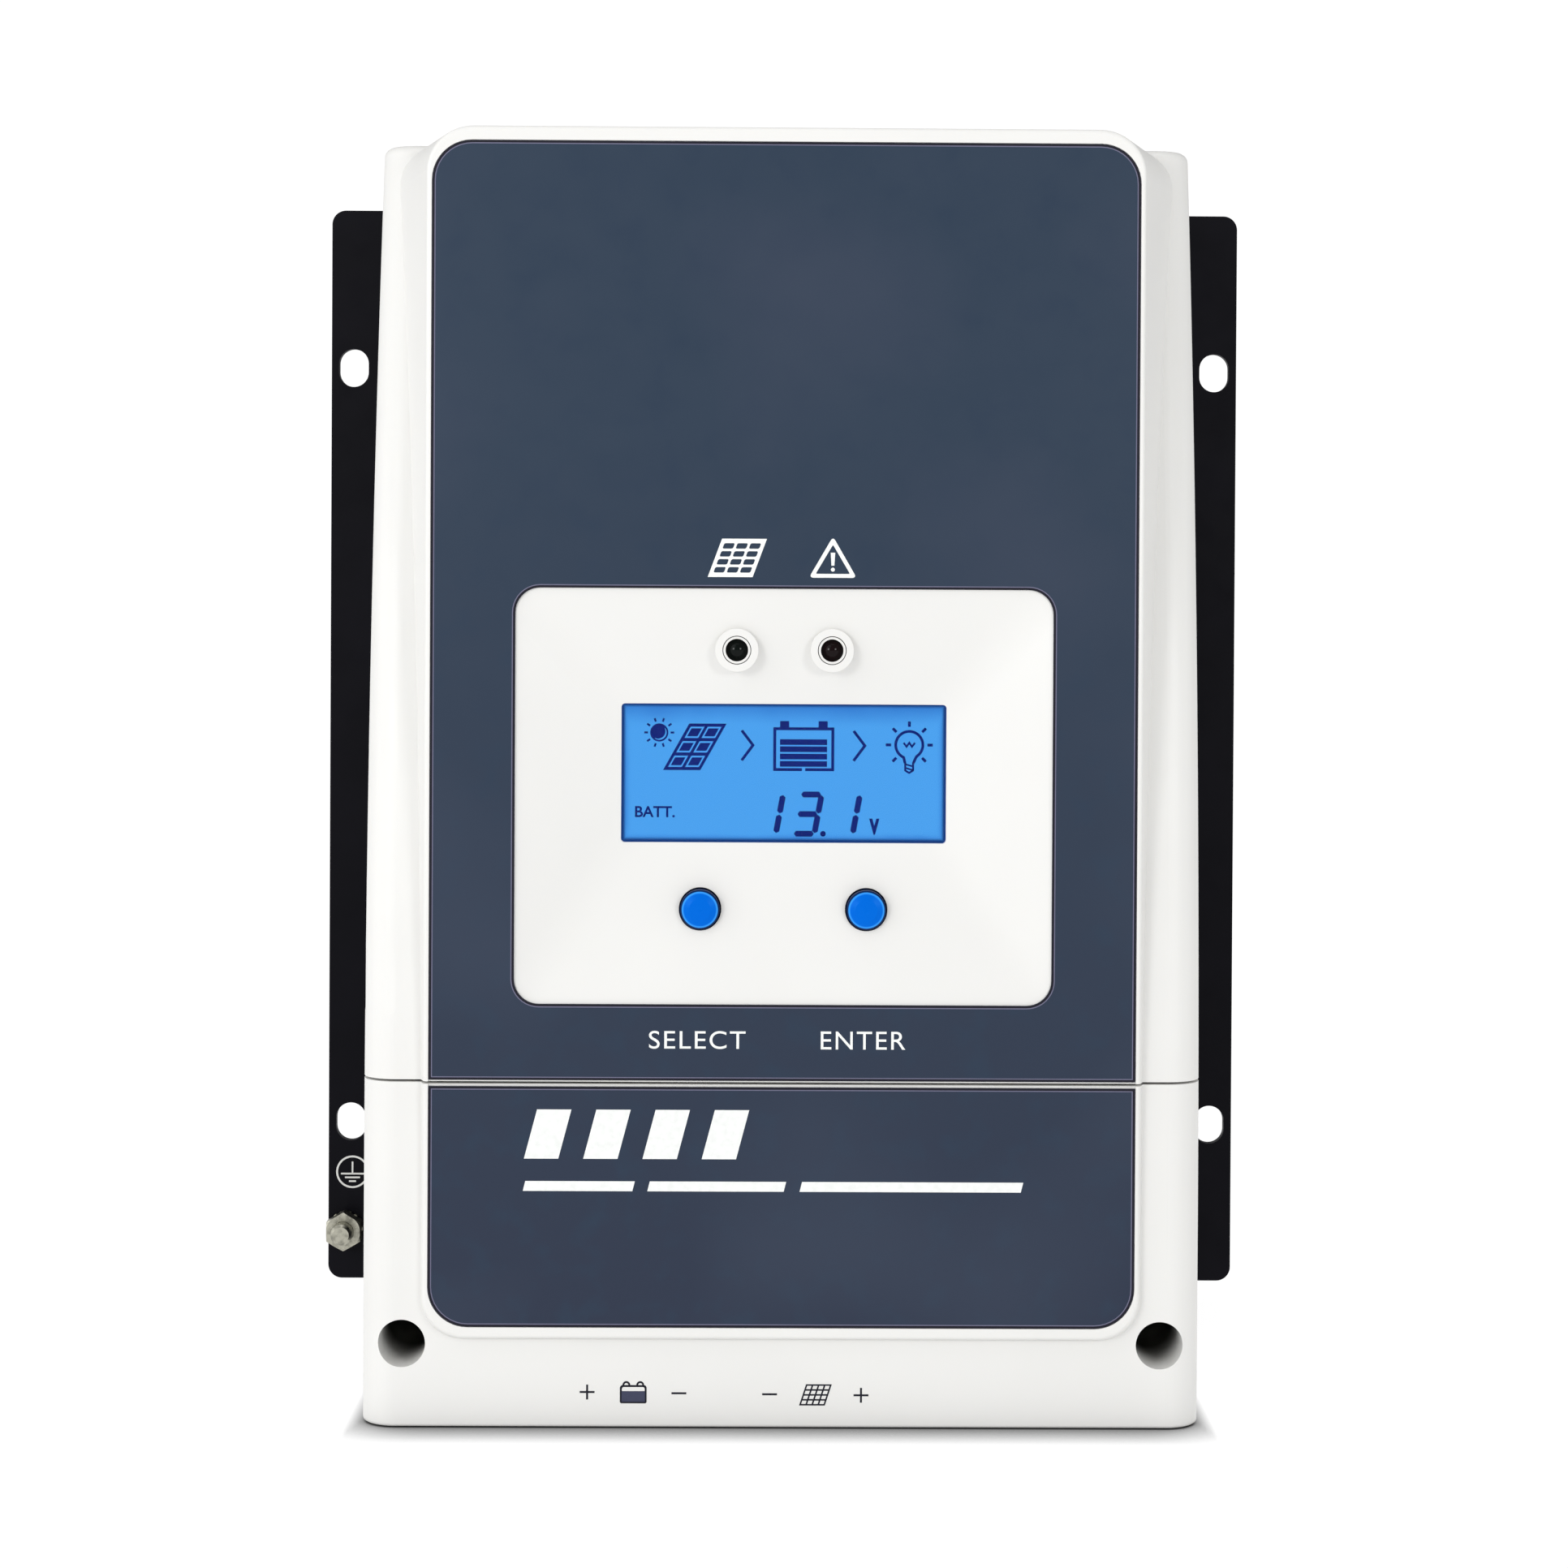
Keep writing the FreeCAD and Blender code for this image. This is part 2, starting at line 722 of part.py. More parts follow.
def button(label, side):
    """A push button with a gently domed cap, a retaining flange and a stem."""
    x = signed(side, "button_x")
    profile = [(0, "button_stem_back"), ("stem_radius", "button_stem_back"),
               ("stem_radius", "button_seat - 1"), ("button_flange", "button_seat - 1"),
               ("button_flange", "button_seat"), ("button_cap", "button_seat"),
               ("button_cap", "button_rim - 0.4"), ("button_cap - 0.4", "button_rim"),
               ("button_cap * 0.55", "button_rim + 0.45"), (0, "button_tip - 0.1")]
    node(turned(label + "_button", profile, x, "button_z"), label + "_button")
    plunger = turned(label + "_plunger", [(0, "plunger_back"), ("plunger_radius", "plunger_back"),
                                          ("plunger_radius", "button_stem_back"), (0, "button_stem_back")],
                     x, "button_z")
    node(plunger, label + "_plunger")


def tact_switches():
    switches = []
    for side in (-1, 1):
        x = signed(side, "button_x")
        case = box("switch_case", about(x, "switch_half"), ("display_board_front", "switch_front"),
                   about("button_z", "switch_half"))
        well_depth = ("plunger_back - button_travel - 0.3", "switch_front + 1")
        well = rod("switch_well", x, "button_z", well_depth, "plunger_radius + plunger_clear")
        switches.append(cut("tact_switch", case, [well]))
    node(group("tact_switches", switches), "tact_switches")


def ribbon():
    """The flat cable from the display board down to the main board, and its two connectors."""
    across = ("-connector_half", "connector_half")
    display_end = box("display_connector", across,
                      ("display_board_back - display_plug", "display_board_back"),
                      about("display_plug_z", "plug_half"))
    main_end = box("main_connector", across, ("board_front", "board_front + main_plug"),
                   about("main_plug_z", "plug_half"))
    node(group("board_connectors", [display_end, main_end]), "board_connectors")
    body = doc.addObject("PartDesign::Body", "ribbon_cable")
    sketch = sketch_on(body, "YZ_Plane", "-ribbon_half")
    start = "display_plug - display_board_back"
    end = "-board_front - main_plug"
    outer, inner = about("-ribbon_depth", "ribbon_thin")
    low, low_inside = about("display_plug_z", "ribbon_thin")
    high_inside, high = about("main_plug_z", "ribbon_thin")
    outline(sketch, [(start, low), (inner, low), (inner, high_inside), (end, high_inside),
                     (end, high), (outer, high), (outer, low_inside), (start, low_inside)])
    pad(body, sketch, "2 * ribbon_half")
    node(body, "ribbon_cable")


# ---------------------------------------------------------------- heat sink, ears and ground point

INNER_FINS = 7
WASHER_TEETH = 14
EAR_SCREW_LEVELS = (-105, 0, 105)
ENTRY_PLATE_SCREW_X = 45.9
CLAMP_SCREW_X = (-48, 0, 48)


def heat_sink():
    base = box("sink_base_plate", ("-sink_half", "sink_half"), ("sink_base", "case_back"),
               ("-sink_tall", "sink_tall"))
    fins = []
    fin_depth = (0, "sink_base + 1")
    tall = ("-sink_tall", "sink_tall")
    for number in range(-INNER_FINS, INNER_FINS + 1):
        fins.append(box("fin", about(f"{number} * fin_pitch", "fin_thick / 2"), fin_depth, tall))
    fins.append(box("left_fin", ("-sink_half", "side_fin_thick - sink_half"), fin_depth, tall))
    fins.append(box("right_fin", ("sink_half - side_fin_thick", "sink_half"), fin_depth, tall))
    blank = join("sink_blank", [base] + fins)
    holes = []
    for side in (-1, 1):
        x = signed(side, "fixing_x")
        for level in ("housing_fixing_top", "housing_fixing_low"):
            holes.append(rod("housing_screw_way", x, level, ("sink_base - 1", "case_back + 1"),
                             "housing_way"))
        for level in EAR_SCREW_LEVELS:
            ends = outward(side, "sink_half - ear_way_long", "sink_half + 1")
            holes.append(side_rod("ear_screw_way", ends, "ear_screw_depth", level, "small_way"))
        holes.append(rod("entry_plate_screw_way", side * ENTRY_PLATE_SCREW_X, "strip_screw_z",
                         ("sink_base + 1", "case_back + 1"), "small_way"))
    for x in CLAMP_SCREW_X:
        holes.append(rod("clamp_screw_way", x, "transistor_z", ("sink_base + 2", "case_back + 1"),
                         "small_way"))
    node(cut("heat_sink", blank, holes), "heat_sink")


def outward(side, inner, outer):
    """A span in X on one side of the middle, in rising order."""
    return (inner, outer) if side > 0 else (f"-({outer})", f"-({inner})")


def side_rod(name, ends, depth, z, radius):
    """A round bar along X between two X values."""
    item = doc.addObject("Part::Cylinder", name)
    bind(item, "Radius", radius)
    bind(item, "Height", f"({ends[1]}) - ({ends[0]})")
    return place(item, ends[0], depth, z, FreeCAD.Rotation(Vector(0, 1, 0), 90))


def ear(label, side):
    """A mounting ear: a flange on the wall and a web against the heat sink's side."""
    outer_end = SIZES["ear_edge"]
    tall = ("-sink_tall", "sink_tall")
    flange = rounded_slab(label + "_flange", (*outward(side, "sink_half", "ear_edge"), *tall),
                          (0, "ear_thick"), "ear_corner", lambda mid: abs(mid.x) > outer_end - NEAR)
    web = box(label + "_web", outward(side, "sink_half", "sink_half + ear_thick"), (0, "case_back"), tall)
    blank = join(label + "_blank", [flange, web])
    holes = []
    for level in (-1, 1):
        x = f"{side} * slot_x"
        z = f"{level} * slot_z"
        through = (-1, "ear_thick + 1")
        straight = about(z, "(slot_tall - slot_wide) / 2")
        middle = box("slot_middle", about(x, "slot_wide / 2"), through, straight)
        ends = [rod("slot_end", x, end, through, "slot_wide / 2") for end in straight]
        holes.append(join("slot", [middle] + ends))
    for level in EAR_SCREW_LEVELS:
        ends = outward(side, "sink_half - 1", "sink_half + ear_thick + 1")
        holes.append(side_rod("web_hole", ends, "ear_screw_depth", level, "small_clear"))
        holes.append(countersink("web_countersink", side, level))
    if side < 0:
        holes.append(rod("ground_hole", "ground_x", "ground_z", (-1, "ear_thick + 1"), "stud_radius"))
    node(cut(label, blank, holes), label)


def countersink(name, side, level):
    """The cone that a flat-headed screw leaves in the web, wide end outwards."""
    cone = doc.addObject("Part::Cone", name)
    bind(cone, "Radius1", "small_clear")
    bind(cone, "Radius2", "sunk_radius")
    bind(cone, "Height", "sunk_deep")
    x = f"{side} * (sink_half + ear_thick - sunk_deep)"
    return place(cone, x, "ear_screw_depth", level, FreeCAD.Rotation(Vector(0, 1, 0), 90 * side))


def ear_screws():
    screws = []
    for side in (-1, 1):
        for level in EAR_SCREW_LEVELS:
            ends = outward(side, "sink_half - ear_screw_long", "sink_half + 1")
            shank = side_rod("ear_screw_shank", ends, "ear_screw_depth", level, "small_shank")
            screws.append(join("ear_screw", [shank, countersink("ear_screw_head", side, level)]))
    node(group("ear_screws", screws), "ear_screws")


def ground_point():
    stud = turned("ground_stud", [(0, 0), ("stud_radius", 0), ("stud_radius", "stud_end - 0.6"),
                                  ("stud_radius - 0.6", "stud_end"), (0, "stud_end")],
                  "ground_x", "ground_z")
    node(stud, "ground_stud")
    bore = "stud_radius + washer_clear"
    ring = turned("washer_blank", [(bore, "ear_thick"), ("washer_radius", "ear_thick"),
                                   ("washer_radius", "washer_front"), (bore, "washer_front")],
                  "ground_x", "ground_z")
    teeth = []
    for number in range(WASHER_TEETH):
        angle = 360 / WASHER_TEETH * (number + 0.5)
        x = f"ground_x + washer_radius * cos({angle})"
        z = f"ground_z + washer_radius * sin({angle})"
        teeth.append(rod("washer_gap", x, z, ("ear_thick - 1", "washer_front + 1"), "washer_tooth"))
    node(cut("ground_lock_washer", ring, teeth), "ground_lock_washer")

    corners = []
    for number in range(6):
        angle = 60 * number + 30
        corners.append((f"ground_x + nut_flats / sqrt(3) * cos({angle})",
                        f"ground_z + nut_flats / sqrt(3) * sin({angle})"))
    hexagon = slab("nut_hexagon", corners, ("washer_front", "nut_front"))
    bore = "stud_radius + thread_clear"
    dome = turned("nut_turned", [(bore, "washer_front"), ("nut_round", "washer_front"),
                                 ("nut_round", "nut_front - 0.4"), ("nut_face", "nut_front"),
                                 (bore, "nut_front")], "ground_x", "ground_z")
    node(overlap_of("ground_nut", hexagon, dome), "ground_nut")


def case_fixings():
    """The posts and screws that hold the two halves of the case to the heat sink."""
    housing_screws = []
    posts = []
    for side in (-1, 1):
        x = signed(side, "fixing_x")
        for level in ("housing_fixing_top", "housing_fixing_low"):
            head_back = "sink_base - housing_head_tall"
            tip = "case_back + housing_shank_long"
            profile = [(0, head_back), ("housing_head", head_back), ("housing_head", "sink_base"),
                       ("housing_shank", "sink_base"), ("housing_shank", tip), (0, tip)]
            housing_screws.append(turned("housing_screw", profile, x, level))
        profile = [("cover_screw_radius + thread_clear", "case_back"), ("cover_post_radius", "case_back"),
                   ("cover_post_radius", "cover_post_front"),
                   ("cover_screw_radius + thread_clear", "cover_post_front")]
        posts.append(turned("cover_post", profile, x, "cover_screw_z"))
        label = "cover_screw_right" if side > 0 else "cover_screw_left"
        node(screw(label, x, "cover_screw_z", "recess_floor", "cover_post_front - cover_screw_long",
                   "recess_floor + cover_head_tall", "cover_screw_radius", "cover_head"), label)
    node(group("housing_screws", housing_screws), "housing_screws")
    node(group("cover_posts", posts), "cover_posts")


# ---------------------------------------------------------------- main board

STANDOFF_LEVELS = ("standoff_low", "0", "standoff_high")


def main_board():
    blank = slab("main_board_blank", rectangle("-board_half", "board_half", "board_bottom", "board_top"),
                 ("board_back", "board_front"))
    holes = []
    standoffs = []
    screws = []
    for side in (-1, 1):
        x = signed(side, "standoff_x")
        for level in STANDOFF_LEVELS:
            holes.append(rod("board_hole", x, level, ("board_back - 1", "board_front + 1"), "small_clear"))
            profile = [("standoff_bore", "case_back"), ("standoff_radius", "case_back"),
                       ("standoff_radius", "board_back"), ("standoff_bore", "board_back")]
            standoffs.append(turned("standoff", profile, x, level))
            screws.append(small_screw("board_screw", x, level, "board_front", "board_back - 7"))
    node(cut("main_board", blank, holes), "main_board")
    node(group("board_standoffs", standoffs), "board_standoffs")
    node(group("board_screws", screws), "board_screws")


def cylinders_on_board(label, spots, radius, tall):
    """Upright round capacitors, each with a rolled rim at its foot."""
    cans = []
    for x, z in spots:
        top = f"board_front + {tall}"
        profile = [(0, "board_front"), (radius, "board_front"), (radius, "board_front + 2"),
                   (f"{radius} - can_rim", "board_front + 2.6"), (radius, "board_front + 3.2"),
                   (radius, f"{top} - can_crown"), (f"{radius} - can_crown", top), (0, top)]
        cans.append(turned(label + "_can", profile, x, z))
    node(group(label, cans), label)


def inductors():
    cores = []
    windings = []
    for x in (-33, 33):
        back = "board_front + core_back"
        front = "board_front + core_front"
        core = [("core_inner", back), ("core_outer", back), ("core_outer", front), ("core_inner", front)]
        ring = turned("inductor_core", core, x, "inductor_z")
        cores.append(ring)
        narrow = "coil_inner + coil_round"
        wide = "coil_outer - coil_round"
        low = "board_front + coil_slope"
        high = "board_front + coil_shoulder"
        top = "board_front + coil_tall"
        coil = [("coil_inner", low), (narrow, "board_front"), (wide, "board_front"), ("coil_outer", low),
                ("coil_outer", high), (wide, top), (narrow, top), ("coil_inner", high)]
        blank = turned("inductor_coil", coil, x, "inductor_z")
        windings.append(cut("inductor_winding", blank, [ring]))
    node(group("inductor_cores", cores), "inductor_cores")
    node(group("inductor_windings", windings), "inductor_windings")


def power_transistors():
    """A row of transistors clamped to the heat sink through insulating pads."""
    pads = []
    devices = []
    for number in range(8):
        x = 16 * number - 56
        seat = "case_back + transistor_back"
        face = "case_back + transistor_front"
        pads.append(box("transistor_pad", about(x, "insulator_half"), ("case_back", seat),
                        ("insulator_low", "insulator_high")))
        case = box("transistor_case", about(x, "transistor_half"), (seat, face),
                   about("transistor_z", "transistor_tall"))
        leg_depth = ("case_back + leg_back", "case_back + leg_back + leg_thick")
        legs = []
        for offset in (-2.5, 0, 2.5):
            across = about(x + offset, "leg_half")
            legs.append(box("leg_run", across, leg_depth,
                            ("leg_low", "transistor_z - transistor_tall + 1")))
            legs.append(box("leg_rise", across, (leg_depth[0], "board_back"),
                            ("leg_low", "leg_low + leg_thick")))
        devices.append(join("power_transistor", [case] + legs))
    node(group("transistor_pads", pads), "transistor_pads")
    node(group("power_transistors", devices), "power_transistors")
    strip_depth = ("case_back + transistor_front", "case_back + transistor_front + strip_deep")
    blank = box("clamp_strip_blank", ("-strip_reach", "strip_reach"), strip_depth,
                about("transistor_z", "strip_tall"))
    hole_depth = (f"{strip_depth[0]} - 1", f"{strip_depth[1]} + 1")
    holes = [rod("clamp_strip_hole", x, "transistor_z", hole_depth, "small_clear") for x in CLAMP_SCREW_X]
    node(cut("transistor_clamp", blank, holes), "transistor_clamp")
    screws = [small_screw("clamp_screw", x, "transistor_z", strip_depth[1], "sink_base + 2.5")
              for x in CLAMP_SCREW_X]
    node(group("clamp_screws", screws), "clamp_screws")


# ---------------------------------------------------------------- terminals and ports

POLES = ("battery_positive", "battery_negative", "solar_negative", "solar_positive")
CAGE_MIDDLE = "(cage_low + cage_high) / 2"


def pole_x(number):
    return f"(pole_first + {number} * pole_pitch)"


def straps():
    """Copper straps that run from each clamp up out of the block and back to the board."""
    pieces = []
    for number in range(len(POLES)):
        x = pole_x(number)
        across = about(x, "strap_half")
        run = box("strap_run", across, ("strap_back", "strap_front"), ("block_bottom + 1", "block_top + 4"))
        turn = box("strap_turn", across, ("board_front", "strap_front"), ("block_top + 2", "block_top + 4"))
        pieces.append(join("strap", [run, turn]))
    return pieces


def terminal_block(strap_pieces):
    blank = box("block_blank", ("block_left", "block_right"), ("board_front", "block_front"),
                ("block_bottom", "block_top"))
    hollows = []
    for number in range(len(POLES)):
        x = pole_x(number)
        hollows.append(box("cell", about(x, "cell_half"), ("cell_back", "cell_front"),
                           ("block_bottom - 1", "cell_top")))
        hollows.append(rod("screw_well", x, CAGE_MIDDLE, ("clamp_head_back", "block_front + 1"),
                           "clamp_head + 0.3"))
        hollows.append(rod("screw_neck", x, CAGE_MIDDLE, ("cell_front - 1", "clamp_head_back + 1"),
                           "clamp_screw + thread_clear"))
        hollows.append(box("strap_slot", about(x, "strap_half"), ("strap_back", "strap_front"),
                           ("cell_top - 1", "block_top + 1")))
    node(cut("terminal_block", blank, hollows), "terminal_block")
    node(group("terminal_straps", strap_pieces), "terminal_straps")


def pole(number, name):
    """One pole's screw, and the cage that it draws forward to trap the wire against the strap."""
    x = pole_x(number)
    node(screw(name + "_screw", x, CAGE_MIDDLE, "clamp_head_back", "strap_front + 0.1", "clamp_head_front",
               "clamp_screw", "clamp_head"), name + "_screw")
    outer = box("cage_outer", about(x, "cage_half"), ("cage_back", "cage_front"), ("cage_low", "cage_high"))
    inner = box("cage_inner", about(x, "(cage_half - cage_wall)"),
                ("cage_back + cage_wall", "cage_front - 2"), ("cage_low - 1", "cage_high + 1"))
    tapped = rod("cage_thread", x, CAGE_MIDDLE, ("cage_front - 3", "cage_front + 1"),
                 "clamp_screw + thread_clear")
    node(cut(name + "_clamp", outer, [inner, tapped]), name + "_clamp")


PORTS = {
    # label: (middle X, half width, front depth, bottom, top, socket half width, socket depths, socket top)
    "data_port": (45, 8, 72.2, -118, -97, 6, (61, 69.5), -103),
    "sensor_port": (62, 6, 69.6, -117, -102, 4.4, (60.6, 67.2), -107),
}


def ports():
    for label, (x, half, front, low, high, socket, depths, deep) in PORTS.items():
        case = box(label + "_case", about(x, half), ("board_front", front), (low, high))
        well = box(label + "_well", about(x, socket), depths, (low - 1, deep))
        node(cut(label, case, [well]), label)


def cable_entry():
    """The bottom plate that the cables pass through, its holding strip and its grommets."""
    strip_front = "case_back + strip_thick"
    through = ("plate_low - 1", "plate_high + 1")
    plate = box("entry_plate_blank", ("-plate_half", "plate_half"), ("case_back", "plate_front"),
                ("plate_low", "plate_high"))
    strip = box("entry_strip_blank", ("-strip_half", "strip_half"), ("case_back", strip_front),
                ("plate_high", "strip_top"))
    holes = []
    grommets = []
    for number in range(len(POLES)):
        x = pole_x(number)
        holes.append(upright("entry_hole", x, "entry_depth", through, "entry_hole"))
        body = upright("grommet_body", x, "entry_depth",
                       ("plate_low - grommet_lip", "plate_high + grommet_lip"), "entry_hole")
        low = upright("grommet_low", x, "entry_depth", ("plate_low - grommet_lip", "plate_low"),
                      "entry_flange")
        high = upright("grommet_high", x, "entry_depth", ("plate_high", "plate_high + grommet_lip"),
                       "entry_flange")
        bore = upright("grommet_bore", x, "entry_depth", ("plate_low - 3", "plate_high + 3"), "entry_bore")
        grommets.append(cut("cable_grommet", join("grommet", [body, low, high]), [bore]))
    for label, (x, half, front, *_) in PORTS.items():
        holes.append(box(label + "_way", about(x, half + 0.5), ("board_front - 0.6", front + 1), through))
    strip_holes = []
    screws = []
    for side in (-1, 1):
        x = side * ENTRY_PLATE_SCREW_X
        strip_holes.append(rod("strip_hole", x, "strip_screw_z", ("case_back - 1", f"{strip_front} + 1"),
                               "small_clear"))
        screws.append(small_screw("entry_plate_screw", x, "strip_screw_z", strip_front, "sink_base + 1.5"))
    node(cut("entry_plate", plate, holes), "entry_plate")
    node(cut("entry_strip", strip, strip_holes), "entry_strip")
    node(group("cable_grommets", grommets), "cable_grommets")
    node(group("entry_plate_screws", screws), "entry_plate_screws")


def upright(name, x, depth, up, radius):
    """A vertical round bar between two heights."""
    item = doc.addObject("Part::Cylinder", name)
    bind(item, "Radius", radius)
    bind(item, "Height", f"({up[1]}) - ({up[0]})")
    return place(item, x, depth, up[0])


# ---------------------------------------------------------------- assembly

def build():
    solid, shell = case_shell()
    front_housing(solid, shell)
    terminal_cover(solid, shell)
    films()
    display()
    lamp("charging_lamp", -1)
    lamp("fault_lamp", 1)
    button("select", -1)
    button("enter", 1)
    tact_switches()
    ribbon()
    heat_sink()
    ear("mounting_ear_left", -1)
    ear("mounting_ear_right", 1)
    ear_screws()
    ground_point()
    case_fixings()
    main_board()
    cylinders_on_board("input_capacitors", [(x, 40) for x in (-48, -16, 16, 48)], 9, 35)
    cylinders_on_board("output_capacitors", [(x, 84) for x in (-48, -16, 16, 48)], 8, 30)
    inductors()
    node(box("microcontroller", about(0, "chip_half"), ("board_front", "board_front + chip_tall"),
             about("chip_z", "chip_half")), "microcontroller")
    power_transistors()
    terminal_block(straps())
    for number, name in enumerate(POLES):
        pole(number, name)
    ports()
    cable_entry()


def check_and_export():
    doc.recompute()
    for item in doc.Objects:
        if "Invalid" in item.State or "Error" in item.State:
            raise RuntimeError(f"{item.Name} failed: {item.State}")
    os.makedirs("parts", exist_ok=True)
    for item in nodes:
        if item.Shape.isNull() or not item.Shape.isValid():
            raise RuntimeError(f"{item.Label} has no valid shape")
        item.Shape.exportStep(f"parts/{item.Label}.step")


build()
check_and_export()
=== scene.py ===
"""Looks for the wall-mounted charge controller: materials, prints, display, light and camera.

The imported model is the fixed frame, in metres. Sizes below are in millimetres; MM turns them
into metres.
X runs to the viewer's right, Z up and the front faces -Y.
"""
import json
import math

import bpy
from mathutils import Matrix, Vector


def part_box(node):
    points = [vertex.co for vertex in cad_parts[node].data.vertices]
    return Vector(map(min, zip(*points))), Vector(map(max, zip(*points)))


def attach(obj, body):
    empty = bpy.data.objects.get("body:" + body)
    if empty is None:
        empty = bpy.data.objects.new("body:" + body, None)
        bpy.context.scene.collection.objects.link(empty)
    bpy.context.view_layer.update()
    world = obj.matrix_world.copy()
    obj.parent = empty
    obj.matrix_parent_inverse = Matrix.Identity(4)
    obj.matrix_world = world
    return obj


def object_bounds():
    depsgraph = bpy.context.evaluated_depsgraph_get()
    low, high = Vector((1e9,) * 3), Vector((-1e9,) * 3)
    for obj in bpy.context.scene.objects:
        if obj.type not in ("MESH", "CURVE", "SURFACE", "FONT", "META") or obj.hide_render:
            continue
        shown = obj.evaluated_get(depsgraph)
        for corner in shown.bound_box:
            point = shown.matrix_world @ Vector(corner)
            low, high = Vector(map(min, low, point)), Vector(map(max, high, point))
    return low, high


MM = 0.001
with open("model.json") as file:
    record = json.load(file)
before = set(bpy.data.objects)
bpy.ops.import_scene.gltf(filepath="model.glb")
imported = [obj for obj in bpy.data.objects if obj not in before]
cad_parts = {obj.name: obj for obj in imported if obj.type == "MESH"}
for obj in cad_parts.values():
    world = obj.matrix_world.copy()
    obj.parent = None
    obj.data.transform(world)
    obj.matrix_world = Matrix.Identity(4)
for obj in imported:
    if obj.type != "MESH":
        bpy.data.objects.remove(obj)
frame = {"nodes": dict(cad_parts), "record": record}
nodes = frame["nodes"]
cad_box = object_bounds()


# ---------------------------------------------------------------- places read from the frame

def millimetres(node):
    low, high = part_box(node)
    return [value / MM for value in low], [value / MM for value in high]


FILM_LOW, FILM_HIGH = millimetres("upper_overlay")
COVER_FILM_LOW, COVER_FILM_HIGH = millimetres("cover_overlay")
GLASS_LOW, GLASS_HIGH = millimetres("lcd_module")
BUTTON_LOW, BUTTON_HIGH = millimetres("enter_button")
FILM_FRONT = FILM_LOW[1]
GLASS_FRONT = GLASS_LOW[1]
WINDOW_MIDDLE = (GLASS_LOW[2] + GLASS_HIGH[2]) / 2
WINDOW_HALF = (33.0, 14.1)
SCREW_LOW, SCREW_HIGH = millimetres("cover_screw_right")
COVER_SCREW_X = (SCREW_LOW[0] + SCREW_HIGH[0]) / 2
COVER_SCREW_Z = (SCREW_LOW[2] + SCREW_HIGH[2]) / 2
BUTTON_MIDDLE = ((BUTTON_LOW[0] + BUTTON_HIGH[0]) / 2, (BUTTON_LOW[2] + BUTTON_HIGH[2]) / 2)
EAR_FRONT = -2.0
CASE_FRONT = -117.0
CASE_HALF = 85.0
INK_THICK = 0.03
INK_THIN = 0.02
LAMP_LEVEL = 25.6
HOLDER_BACK = -115.4
HOLDER_THICK = 1.6
RECESS_RADIUS = 5.0
SHADE_REACH = 12.0
SHADE_DEPTH = 2.4
FLOOR_GLOW = 0.97


# ---------------------------------------------------------------- material building

def srgb(red, green, blue):
    """Linear colour of an sRGB triple given from 0 to 255."""
    def linear(value):
        value /= 255
        return value / 12.92 if value <= 0.04045 else ((value + 0.055) / 1.055) ** 2.4
    return (linear(red), linear(green), linear(blue), 1.0)


